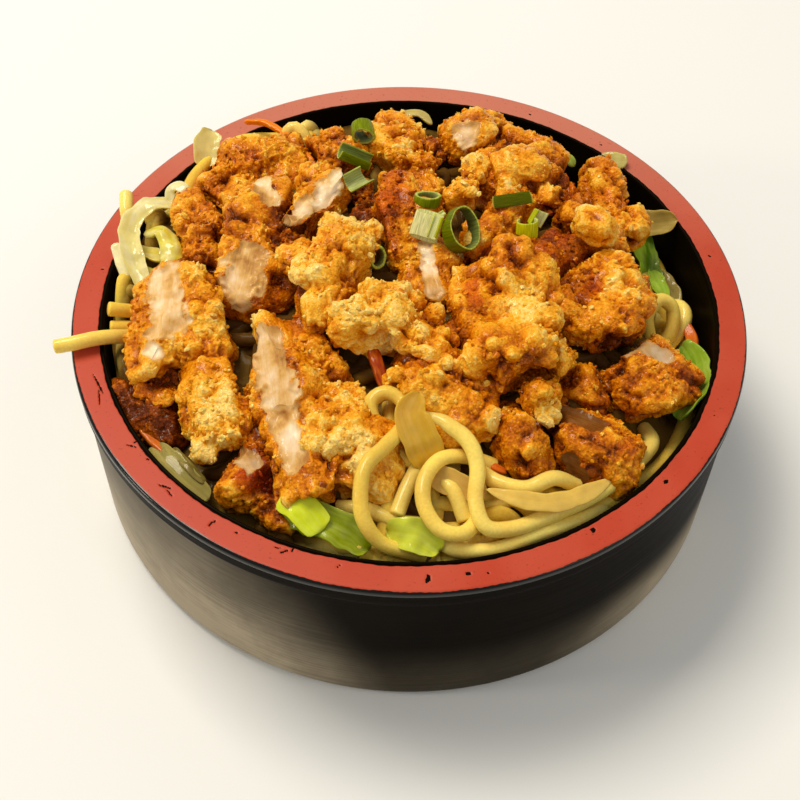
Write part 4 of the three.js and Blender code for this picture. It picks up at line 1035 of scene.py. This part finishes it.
# Each group's name, strands, seed, how dark its painted shade is where it lies shaded, and finish.
STRAND_GROUPS = [
    ("noodle_loops", loop_lines, 11, 0.2, "oiled wheat noodle"),
    ("noodle_tangle_a", filler[::2], 12, 0.95, "stained and shaded wheat noodle"),
    ("noodle_tangle_b", filler[1::2], 13, 0.95, "stained and shaded wheat noodle"),
]
for name, lines, seed, shaded, finish in STRAND_GROUPS:
    points, faces, strand_tint = strands_mesh(lines, seed)
    # Some tangle strands get sauce stains, and strands under and beside the chicken and in the hollows get
    # painted shade, faint on the loops.
    sauce_and_shade = 0.25 * lattice_value(np.round(strand_tint * 999), 1, 2, 3) * (shaded > 0.5)
    sauce_and_shade = np.maximum(sauce_and_shade, shaded * shaded_share(points[:, 0], points[:, 1]))
    add_piece(name, points, faces, noodle_materials[finish], ["noodles"],
              {"tint": np.stack([strand_tint, sauce_and_shade], -1)})


# --- Vegetables ---------------------------------------------------------------------------
# Stir-fried strips: thick pale cabbage and thin green leaf, wilted and crumpled, slices of
# onion gone clear, and sticks of carrot. They lie loose on and in the noodles, wet with oil.

# Each strip runs along a line, with its width, thickness, the way its upper face looks, and the
# arch (cup), ripple (wave) and crumple across it, all in mm. Taper narrows both ends. A leaf may
# have a second tone past its middle: painted light and shade, one half lit and the other shaded.
STRIPS = [
    dict(name="cabbage_left_outer", kind="cabbage", tone="#E4D684", wide=6, thick=0.9, cup=1.2, wave=0.6,
         crumple=0.9, line=[[-69, 38, 57], [-70, 31, 60], [-76, 28, 62], [-80, 21, 62], [-79, 12, 62],
                            [-75, 2, 60], [-72, -4, 57]]),
    dict(name="cabbage_left_rim", kind="cabbage", tone="#EAE0A4", wide=4.5, thick=1.6,
         facing=[-0.5, -0.4, 1], crumple=0.4, line=[[-84, 14, 61], [-81, 8, 60], [-78, 2, 57]]),
    dict(name="cabbage_left_curl", kind="cabbage", tone="#DCD040", wide=6, thick=1.2, cup=-0.8,
         crumple=0.9,
         line=[[-77, 20, 59], [-72, 20, 61], [-68, 13, 61], [-68, 7, 60], [-72, 5, 58], [-76, 9, 57]]),
    dict(name="cabbage_front", kind="leaf", tone="#879600", wide=9, thick=1.1, cup=1.2, wave=0.7,
         crumple=0.5, facing=[0, -0.6, 1],
         line=[[-30, -71, 55], [-22, -73, 57], [-14, -76, 56], [-8, -79, 53]]),
    dict(name="cabbage_front_small", kind="leaf", tone="#C6CE38", wide=8, thick=0.9, cup=1.2, wave=0.6,
         crumple=0.7, facing=[0.2, -0.6, 1],
         line=[[-4, -75, 55], [0, -76, 56], [4, -77, 56], [9, -79, 53]]),
    dict(name="leaf_right_back", kind="leaf", tone="#A6D02C", painted_fold_light="#587C0C", wide=9, thick=1, cup=1.6,
         wave=0.8, crumple=0.8, facing=[0.5, -0.2, 1],
         line=[[66, 39, 51], [67.5, 32, 50], [69, 23, 49], [70, 13, 46]]),
    dict(name="leaf_right_wall", kind="leaf", tone="#5E8E0A", painted_fold_light="#86A828", wide=9, thick=1, cup=1,
         wave=0.8, crumple=0.8, facing=[-0.8, 0.1, 1],
         line=[[76, -9, 51], [78, -16, 52], [78, -23, 53], [76, -30, 54], [72, -37, 53]]),
    dict(name="onion_front", kind="onion", tone="#D9AA2C", wide=9.2, thick=0.9, cup=0.9, taper=0.75,
         crumple=0.3, facing=[0.35, -0.9, 1],
         line=[[3, -45, 72], [1, -50, 70.2], [3.6, -55, 65.8], [6.4, -58.4, 60.2], [7.6, -61, 57.4]]),
    dict(name="onion_front_strip", kind="onion", tone="#E2BC58", wide=4.8, thick=0.9, taper=0.85,
         crumple=0.3, facing=[0, -0.4, 1],
         line=[[20, -66, 61], [28, -68.5, 61], [37, -68.5, 60], [45, -64.5, 58.5], [52, -59, 57]]),
    dict(name="onion_right_rim", kind="onion", tone="#A8924A", wide=8, thick=0.9, cup=0.8, taper=0.7,
         crumple=0.5, facing=[0, -0.8, 1], line=[[64, 38, 51], [71, 35.5, 54], [78, 33, 58]]),
    dict(name="onion_right_wall", kind="onion", tone="#9C8A45", wide=5, thick=1, taper=0.8, crumple=0.3,
         facing=[-0.6, -0.3, 1], line=[[73, 25, 45], [76, 19, 45], [79, 12, 44]]),
    dict(name="onion_back_left", kind="onion", tone="#DDD084", wide=7.5, thick=0.9, cup=1.3, taper=0.1,
         crumple=0.5, facing=[0.3, -0.6, 1], line=[[-63, 51, 57], [-63.5, 57, 60], [-61.5, 62, 62]]),
    dict(name="onion_back_right", kind="onion", tone="#B9B269", wide=6.5, thick=1.2, taper=0.4,
         crumple=0.3, facing=[0, -0.6, 1], line=[[54, 56, 48], [59, 60, 55], [65, 57, 59]]),
    dict(name="carrot_back", kind="carrot", tone="#EE8006", wide=2, thick=1.8,
         line=[[-53, 69, 60], [-47, 69, 60], [-41, 65, 60], [-36, 59, 60], [-30, 51, 60]]),
    # The middle carrot is toned dark as painted shadow, cast on it by the chicken above.
    dict(name="carrot_middle", kind="carrot", tone="#962F04", wide=3.2, thick=2.4, taper=0.3,
         line=[[-10, -26, 68], [-8, -32, 67], [-5, -40, 64]]),
    dict(name="carrot_right", kind="carrot", tone="#D4661C", wide=3.4, thick=2.2, taper=0.4,
         facing=[-0.6, 0, 1], line=[[78, 3, 47], [80, -2, 47], [80, -7, 47], [78, -12, 48]]),
    dict(name="carrot_left", kind="carrot", tone="#C9621A", wide=2.4, thick=2, taper=0.4,
         line=[[-71, -42, 53], [-66, -48, 53], [-61, -53, 53]]),
]
LOOSE_STRIPS = [
    dict(name="cabbage_loop", kind="cabbage", tone="#EADFA0", wide=4, thick=1.3, crumple=0.5,
         line=[[-72, 34, 57], [-71, 38, 60], [-68, 37, 61.5], [-66, 32, 60], [-66, 26, 58]]),
    dict(name="cabbage_inner", kind="cabbage", tone="#DCC848", wide=5, thick=1.2, cup=0.7, crumple=0.8,
         line=[[-80, 17, 55], [-75, 14, 57], [-71, 12, 57.5], [-67, 16, 57], [-66, 22, 57]]),
    # The two low strips by the left wall are toned dark olive as painted shade, for they lie in shadow
    # there.
    dict(name="cabbage_low_a", kind="onion", tone="#958A42", wide=7, thick=0.8, cup=1, taper=0.5,
         crumple=0.15,
         line=[[-64.5, -50.5, 53], [-60.5, -55.5, 54], [-55.5, -60.5, 53.5], [-49, -65.5, 51.5]]),
    dict(name="cabbage_low_b", kind="onion", tone="#6E6224", wide=2.6, thick=0.8, crumple=0.3, taper=0.2,
         line=[[-59.5, -51.5, 54], [-55, -57, 54.5], [-50, -61.5, 53]]),
    dict(name="leaf_fold", kind="leaf", tone="#CCDA20", wide=8.5, thick=0.9, cup=0.3, taper=0.05,
         crumple=0.15, facing=[0.5, -0.9, 0.9],
         line=[[-29.5, -68.5, 60.5], [-25, -72, 60], [-19.5, -77, 57.5]]),
    dict(name="leaf_back_scrap", kind="leaf", tone="#8FA63A", wide=3.5, thick=0.8, crumple=0.5,
         line=[[44.7, 58.4, 58.5], [47, 57.5, 59], [49, 55.6, 57.5]]),
    dict(name="leaf_right_lower", kind="leaf", tone="#93B52E", wide=5, thick=0.9, cup=1.2, crumple=0.9,
         facing=[0.3, -0.4, 1], line=[[70, 20, 50], [72, 13, 49.5], [73, 7, 49]]),
    dict(name="onion_in_ring", kind="onion", tone="#D8AE52", wide=6.5, thick=0.8, cup=0.6, taper=0.5,
         crumple=0.3, facing=[0, -0.7, 1],
         line=[[6, -60.5, 59], [11, -62.5, 58.8], [16, -64, 58], [20.5, -64, 57]]),
    dict(name="onion_back", kind="onion", tone="#B8A860", wide=3, thick=0.9, taper=0.6, crumple=0.3,
         line=[[-6.5, 79, 56], [1.5, 78.5, 57.5], [5.4, 74, 57]]),
    dict(name="carrot_bit", kind="carrot", tone="#CF5E16", wide=2.2, thick=1.6, taper=0.3,
         line=[[21.3, -56.9, 58.5], [23.5, -57.8, 58], [25.5, -58.2, 57]]),
    dict(name="onion_mid_bit", kind="onion", tone="#E3C26E", wide=3.4, thick=1.6, taper=0.2, crumple=0.2,
         line=[[11.5, -4, 71], [13.9, -5.1, 71.5], [16, -6, 71]]),
]
STRIP_SPACING = 0.6
STRIP_SIDES = 36
STRIP_CLOSING = 1.6
STRIP_ROUNDING = 0.55


def squared(wave, power):
    """A wave between -1 and 1 made squarer: its sign times its size to a power below 1."""
    return np.sign(wave) * np.abs(wave) ** power


def strip_surface(strip, seed):
    """A sheet along a line: p(t, a) = c(t) + v w(t) / 2 side(t) + (cup v^2 + wave sin(6 t + 2.2 v)
    + crumple noise + h) up(t), where v and h go round a flat rounded section as a turns. The
    width closes over STRIP_CLOSING at each end. Also gives each point's place in mm."""
    line = smooth_line(strip["line"], STRIP_SPACING)
    t = np.linspace(0, 1, len(line))
    tangent = unit(np.gradient(line, axis=0))
    side = unit(np.cross(strip.get("facing", [0, 0, 1]), tangent))
    up = np.cross(tangent, side)
    reach = t * STRIP_SPACING * (len(line) - 1)
    to_end = np.minimum(reach, reach[-1] - reach)
    closing = np.sqrt(1 - (1 - np.clip(to_end / STRIP_CLOSING + 0.02, 0, 1)) ** 2)
    width = strip["wide"] * (1 - strip.get("taper", 0.5) * np.abs(2 * t - 1) ** 3)
    angle = full_turn(STRIP_SIDES)
    v = squared(np.cos(angle), STRIP_ROUNDING)
    h = squared(np.sin(angle), STRIP_ROUNDING)
    across = v[None] * np.ones((len(line), 1))
    flat = line[:, None] + (across * width[:, None] / 2)[..., None] * side[:, None]
    ragged = 1 + 0.10 * smooth_noise(np.stack([reach / 2.5, reach * 0, reach * 0], -1), seed)
    creases = smooth_noise(flat / 3.4, seed + 5) + 0.3 * smooth_noise(flat / 1.5, seed + 6)
    lift = (strip.get("cup", 0) * across ** 2
            + strip.get("wave", 0) * np.sin(6 * t[:, None] + 2.2 * across)
            + strip.get("crumple", 0) * creases)
    thick = strip["thick"] / 2 * (1 + 0.25 * smooth_noise(flat / 2.3, seed + 7))
    height = lift * closing[:, None] ** 0.5 + h[None] * thick * closing[:, None]
    aside = across * (width * closing * ragged)[:, None] / 2
    points = line[:, None] + aside[..., None] * side[:, None] + height[..., None] * up[:, None]
    faces = [grid_quads(len(line), STRIP_SIDES, True), tube_caps(len(line), STRIP_SIDES)]
    place = np.stack([reach[:, None] + 0 * across, across * width[:, None] / 2, 0 * across], -1)
    return points.reshape(-1, 3), faces, place.reshape(-1, 3)


# Wet cooked vegetable: a film of oil over clear watery flesh, so it is glossy and lets light
# in. Fine veins run along it, 1 to 2 mm apart.
STRIP_FINISHES = {
    # Material name, vein colour, veins to a mm along and across, vein share, subsurface, coat
    "cabbage": ("stir-fried cabbage", "#FFFAE0", (0.08, 0.45), 0.4, 0.4, 0.8),
    "leaf": ("wilted green leaf", "#DDEB7C", (0.10, 0.8), 0.28, 0.12, 0.35),
    "onion": ("clear cooked onion", "#F8DC90", (0.04, 0.8), 0.18, 0.4, 0.4),
    "carrot": ("cooked carrot", "#F79420", (0.3, 1.2), 0.35, 0.1, 0.3),
}
strip_materials = {}
for kind, (name, vein_colour, spread, share, inside, coat) in STRIP_FINISHES.items():
    strip_materials[kind], tree = new_material(name)
    tone = add_node(tree, "VertexColor", layer_name="tone")
    place = add_node(tree, "VertexColor", layer_name="place")
    scaled = add_node(tree, "VectorMath", {0: place, 1: (*spread, 1.0)}, operation="MULTIPLY")
    veins = add_node(tree, "TexNoise", {"Vector": scaled, "Scale": 1.0, "Detail": 3.0})
    blotch = add_node(tree, "TexNoise", {"Vector": place, "Scale": 0.25, "Detail": 3.0})
    vein_share = add_node(tree, "MapRange",
                          {"Value": veins, "From Min": 0.42, "From Max": 0.72, "To Max": share})
    veined = add_node(tree, "Mix", {"Factor": vein_share, "A": tone, "B": srgb(vein_colour)},
                      data_type="RGBA")
    shade = add_node(tree, "MapRange",
                     {"Value": blotch, "From Min": 0.3, "From Max": 0.7, "To Min": 0.88, "To Max": 1.08})
    shaded = add_node(tree, "Mix", {"Factor": 1.0, "A": veined, "B": shade}, data_type="RGBA",
                      blend_type="MULTIPLY")
    vein_bump = add_node(tree, "Bump", {"Height": veins, "Strength": 0.35, "Distance": 0.0003})
    surface = add_node(tree, "BsdfPrincipled",
                       {"Base Color": shaded, "Roughness": 0.3, "IOR": 1.15, "Coat Weight": coat,
                        "Coat Roughness": 0.05, "Coat IOR": 1.5, "Subsurface Weight": inside,
                        "Subsurface Radius": (1.0, 0.8, 0.3), "Subsurface Scale": 0.0025,
                        "Normal": vein_bump})
    add_node(tree, "OutputMaterial", {"Surface": surface})

for seed, strip in enumerate(STRIPS + LOOSE_STRIPS):
    points, faces, place = strip_surface(strip, seed)
    # Painted light and shade: a leaf's second tone takes over past a wavy line down its middle, one side
    # lit and the other in shade.
    painted_fold_share = smoothstep(-0.7, 0.7, place[:, 1:2] + 0.5 * np.sin(place[:, :1] / 2))
    tone = (1 - painted_fold_share) * srgb(strip["tone"])[:3] + painted_fold_share * srgb(strip.get("painted_fold_light", strip["tone"]))[:3]
    add_piece(f"strip_{strip['name']}", points, faces, strip_materials[strip["kind"]],
              [strip["name"]] if strip in STRIPS else [],
              {"tone": tone, "place": place})


# --- Spring onion -------------------------------------------------------------------------
# Raw spring onion cut across into short hollow lengths and dropped on top: a thin dark green
# skin outside, paler and wet inside. One pale piece comes from the leek end, in layers.

# Each is a round wall: its middle, the way its hole points, its radii, its length, how flat it is
# pressed, the gap in degrees where it is torn open, how far that gap turns from the top (spin) in
# degrees, and how dark it is.
SCALLIONS = [
    dict(name="ring_back", at=[-15.7, 57.4, 67.6], axis=[0.16, -0.98, 0.05], outer=3.2, inner=2.3,
         long=5.6, dark=0.7),
    dict(name="tube_back_a", at=[-16.7, 40, 73], axis=[1, -0.1, -0.42], outer=3, inner=2.4, long=9.6,
         gap=120, spin=8, dark=0.8),
    dict(name="tube_back_b", at=[-15.8, 29.2, 74.6], axis=[1, 0.7, 0.15], outer=3.3, inner=2.8, long=7,
         gap=190, spin=22, dark=0.55),
    dict(name="ring_middle", at=[4.1, 18.7, 77.2], axis=[0.14, 0.38, 0.91], outer=4, inner=2.9, long=2.2,
         dark=0.72),
    dict(name="leek_middle", at=[3.9, 8.8, 76.6], axis=[0.27, 0.7, 0.66], outer=4.2, inner=3.6, long=7.4,
         flat=0.15, dark=0),
    dict(name="ring_right", at=[13.2, 6.8, 77.4], axis=[0.62, -0.38, 0.68], outer=5.2, inner=4.6, long=4.2,
         flat=1.18, dark=0.85),
    dict(name="strip_right", at=[27.7, 22, 74.5], axis=[1, 0.2, 0.05], outer=1.7, inner=1.2, long=10.8,
         flat=0.2, spin=45, dark=1),
    dict(name="cut_right", at=[31.2, 9.6, 76], axis=[0, 0.44, 0.9], outer=2.8, inner=2.2, long=4.4,
         gap=100, spin=150, dark=0.18),
]
LOOSE_SCALLIONS = [
    dict(name="arc_left", at=[-12.6, 10.6, 72.8], axis=[0.6, -0.2, 0.8], outer=4, inner=3.2, long=2.6,
         gap=190, dark=0.8),
    dict(name="half_ring", at=[-9.8, 1.2, 72], axis=[0.5, -0.7, 0.6], outer=3.2, inner=2.2, long=3.8,
         gap=60, dark=0.75),
    dict(name="bit_centre", at=[12.8, -16, 70], axis=[0.1, 1, -0.3], outer=2.2, inner=1.4, long=7, gap=120,
         dark=0.9),
    dict(name="bit_low", at=[13.4, -25, 66.5], axis=[0.1, 1, -0.3], outer=2, inner=1.2, long=6, gap=120,
         dark=0.8),
    dict(name="leek_curl", at=[6.3, 6.6, 78.4], axis=[0.3, 0.7, 0.66], outer=1.8, inner=1.4, long=6.2,
         flat=0.6, gap=130, spin=-35, dark=0.18),
    dict(name="leek_heart", at=[7.4, 11.2, 78.2], axis=[0.8, 0.4, 0.4], outer=1.1, inner=0.6, long=3.4,
         flat=0.6, gap=150, dark=0.12),
    dict(name="cut_right_fold", at=[35.3, 12.6, 76], axis=[0.45, 0.5, 0.75], outer=3, inner=2.4, long=5,
         gap=205, spin=100, dark=0.3),
]
SCALLION_TURNS = 56
SCALLION_SECTION = 20


def scallion_surface(ring, seed):
    """A wall between two radii: p(a, b) = m + r(b) q(a) (cos a side + sin a up) + h(b) axis, where
    r and h go round the wall's rounded section as b turns, and q is a wavy squash. Its ends are
    cut a little askew. Also gives whether each point is on the skin, its place along and round
    the wall, how near a cut end it is, and a painted shade for the inside of the hollow, darker
    towards one end."""
    axis = unit(np.array(ring["axis"], float))
    side = unit(np.cross([0.1, 0.3, 1], axis))
    up = np.cross(axis, side)
    spin = math.radians(ring.get("spin", 0))
    side, up = math.cos(spin) * side + math.sin(spin) * up, math.cos(spin) * up - math.sin(spin) * side
    gap = math.radians(ring.get("gap", 0))
    turns = SCALLION_TURNS
    a = (np.pi + gap) / 2 + (2 * np.pi - gap) * np.arange(turns) / (turns - (gap > 0))
    b = full_turn(SCALLION_SECTION)
    outward = squared(np.cos(b), 0.5)
    endward = squared(np.sin(b), 0.35)
    r = (ring["outer"] + ring["inner"]) / 2 + (ring["outer"] - ring["inner"]) / 2 * outward
    squash = 1 + 0.09 * np.cos(2 * a + seed) + 0.03 * np.cos(3 * a + 2 * seed) + 0.015 * np.cos(7 * a)
    h = (ring["long"] / 2 * endward[None] * (1 + 0.08 * np.cos(a + 1.7 * seed))[:, None]
         + 0.108 * ring["outer"] * endward[None] * np.cos(a - seed)[:, None])
    circle = np.cos(a)[:, None] * side + ring.get("flat", 1) * np.sin(a)[:, None] * up
    points = (np.array(ring["at"]) + (r[None] * squash[:, None])[..., None] * circle[:, None]
              + h[..., None] * axis)
    faces = [grid_quads(turns, SCALLION_SECTION, True, looped=gap == 0)[:, ::-1]]
    if gap > 0:
        faces.append(tube_caps(turns, SCALLION_SECTION)[:, ::-1])
    skin = np.repeat(outward[None] > 0.5, turns, 0).reshape(-1, 1)
    cut = np.repeat(smoothstep(0.94, 1.0, np.abs(endward[None])), turns, 0).reshape(-1, 1)
    along = (h + 0 * r[None]).reshape(-1, 1)
    # Painted shade deep in the hollow: the inner flesh darkens towards one end, less in short or pale
    # pieces and not in ones torn wide open.
    deep = (1 - skin) * np.clip(0.8 - 1.3 * along / ring["long"], 0, 1)
    deep *= min(1, ring["long"] / 6) * min(1, 3 * ring["dark"]) * (gap < 2)
    turn = (a[:, None] + 0 * r[None]).reshape(-1, 1)
    return points.reshape(-1, 3), faces, np.hstack([skin, along, turn, cut]), deep


# Spring onion leaf: waxy skin with fine lengthwise lines, dark green outside and wet pale
# green flesh at the cuts, with painted shade deep in the hollow.
scallion_material, tree = new_material("fresh spring onion")
state = add_node(tree, "VertexColor", layer_name="skin")
tone = add_node(tree, "VertexColor", layer_name="tone")
states = add_node(tree, "SeparateColor", {"Color": state})
tones = add_node(tree, "SeparateColor", {"Color": tone})
lined = add_node(tree, "CombineXYZ", {"X": states.outputs["Blue"], "Y": states.outputs["Green"], "Z": 0.0})
line_scale = add_node(tree, "VectorMath", {0: lined, 1: (9.0, 0.25, 1.0)}, operation="MULTIPLY")
lines = add_node(tree, "TexNoise", {"Vector": line_scale, "Scale": 1.0, "Detail": 3.0})
skin = add_node(tree, "ValToRGB", {"Fac": tones.outputs["Red"]})
GREENS = [(0.0, "#DEDC98"), (0.16, "#C6C80E"), (0.5, "#8EA014"), (0.75, "#6E7C02"), (1.0, "#525800")]
ramp = skin.color_ramp
ramp.elements[0].color = srgb(GREENS[0][1])
ramp.elements[1].color = srgb(GREENS[-1][1])
for position, colour in GREENS[1:-1]:
    ramp.elements.new(position).color = srgb(colour)
flesh = add_node(tree, "Mix", {"Factor": tones.outputs["Red"], "A": srgb("#E4E6A0"), "B": srgb("#567000")},
                 data_type="RGBA")
# Painted shade: the tone's green darkens the inner flesh towards #1C2604 deep in the hollow.
hollow = add_node(tree, "Mix", {"Factor": tones.outputs["Green"], "A": flesh, "B": srgb("#1C2604")},
                  data_type="RGBA")
sided = add_node(tree, "Mix", {"Factor": states.outputs["Red"], "A": hollow, "B": skin}, data_type="RGBA")
cut_face = add_node(tree, "Mix", {"Factor": state.outputs["Alpha"], "A": sided, "B": srgb("#B4BE48")},
                    data_type="RGBA")
line_step = add_node(tree, "MapRange",
                     {"Value": lines, "From Min": 0.32, "From Max": 0.68, "To Min": 0.66, "To Max": 1.25})
lit = add_node(tree, "Mix", {"Factor": 1.0, "A": cut_face, "B": line_step}, data_type="RGBA",
               blend_type="MULTIPLY")
surface = add_node(tree, "BsdfPrincipled",
                   {"Base Color": lit, "Roughness": 0.25, "IOR": 1.18, "Subsurface Weight": 0.15,
                    "Subsurface Radius": (0.8, 1.0, 0.15), "Subsurface Scale": 0.0012})
add_node(tree, "OutputMaterial", {"Surface": surface})

for seed, ring in enumerate(SCALLIONS + LOOSE_SCALLIONS):
    points, faces, states_here, deep = scallion_surface(ring, seed)
    tone_and_hollow_shade = np.hstack([np.full((len(points), 1), ring["dark"]), deep])
    add_piece(f"scallion_cut_{ring['name']}", points, faces, scallion_material,
              [f"scallion_{ring['name']}"] if ring in SCALLIONS else [],
              {"skin": states_here, "tone": tone_and_hollow_shade})


# --- Crumbs -------------------------------------------------------------------------------
# Loose flakes and grains of fried crust, 0.4 to 1.9 mm across, that stick to the chicken. They
# lie where it faces up, and none on the bare meat.

CRUMB_COUNT = 7000
CRUMB_RADIUS = (0.2, 0.95)
CRUMB_CORNERS = 12
LOWEST_CRUMB = 55


def rough_grain():
    """A grain as a ball of 20 triangles: the corners of an icosahedron, one unit from its middle."""
    g = (1 + math.sqrt(5)) / 2
    corners = np.array([[-1, g, 0], [1, g, 0], [-1, -g, 0], [1, -g, 0], [0, -1, g], [0, 1, g], [0, -1, -g],
                        [0, 1, -g], [g, 0, -1], [g, 0, 1], [-g, 0, -1], [-g, 0, 1]]) / math.hypot(1, g)
    order = np.array([[0, 11, 5], [0, 5, 1], [0, 1, 7], [0, 7, 10], [0, 10, 11], [1, 5, 9], [5, 11, 4],
                      [11, 10, 2], [10, 7, 6], [7, 1, 8], [3, 9, 4], [3, 4, 2], [3, 2, 6], [3, 6, 8],
                      [3, 8, 9], [4, 9, 5], [2, 4, 11], [6, 2, 10], [8, 6, 7], [9, 8, 1]])
    return corners, order


draw = np.random.default_rng(7)
all_points, all_normals, all_states = (np.vstack(part) for part in zip(*crust_points))
chance = np.clip(all_normals[:, 2] + 0.25, 0, 1) * (1 - all_states[:, 2]) ** 3
chance *= all_points[:, 2] > LOWEST_CRUMB
chosen = draw.choice(len(all_points), CRUMB_COUNT, replace=False, p=chance / chance.sum())
corners, order = rough_grain()
smallest, largest = CRUMB_RADIUS
size = smallest + (largest - smallest) * draw.uniform(0, 1, CRUMB_COUNT) ** 2.6
uneven = draw.uniform(0.6, 1.35, (CRUMB_COUNT, CRUMB_CORNERS, 1))
stretch = draw.uniform(0.5, 1.3, (CRUMB_COUNT, 1, 3))
tilt = np.linalg.qr(draw.normal(size=(CRUMB_COUNT, 3, 3)))[0]
tilt *= np.sign(np.linalg.det(tilt))[:, None, None]
grains = (corners[None] * uneven * stretch * size[:, None, None]) @ tilt
grains += (all_points[chosen] + all_normals[chosen] * (0.2 * size)[:, None])[:, None]
crumb_faces = order[None] + (CRUMB_CORNERS * np.arange(CRUMB_COUNT))[:, None, None]
crumb_state = all_states[chosen].copy()
crumb_state[:, 0] = np.clip(crumb_state[:, 0] + 0.05 + draw.normal(0, 0.13, CRUMB_COUNT), 0, 1)
crumb_state[:, 2] = 0
add_piece("crust_crumbs", grains.reshape(-1, 3), [crumb_faces.reshape(-1, 3)], crust_material,
          [],
          {"crust": np.repeat(crumb_state, CRUMB_CORNERS, 0), "place": grains.reshape(-1, 3)},
          smooth=False)
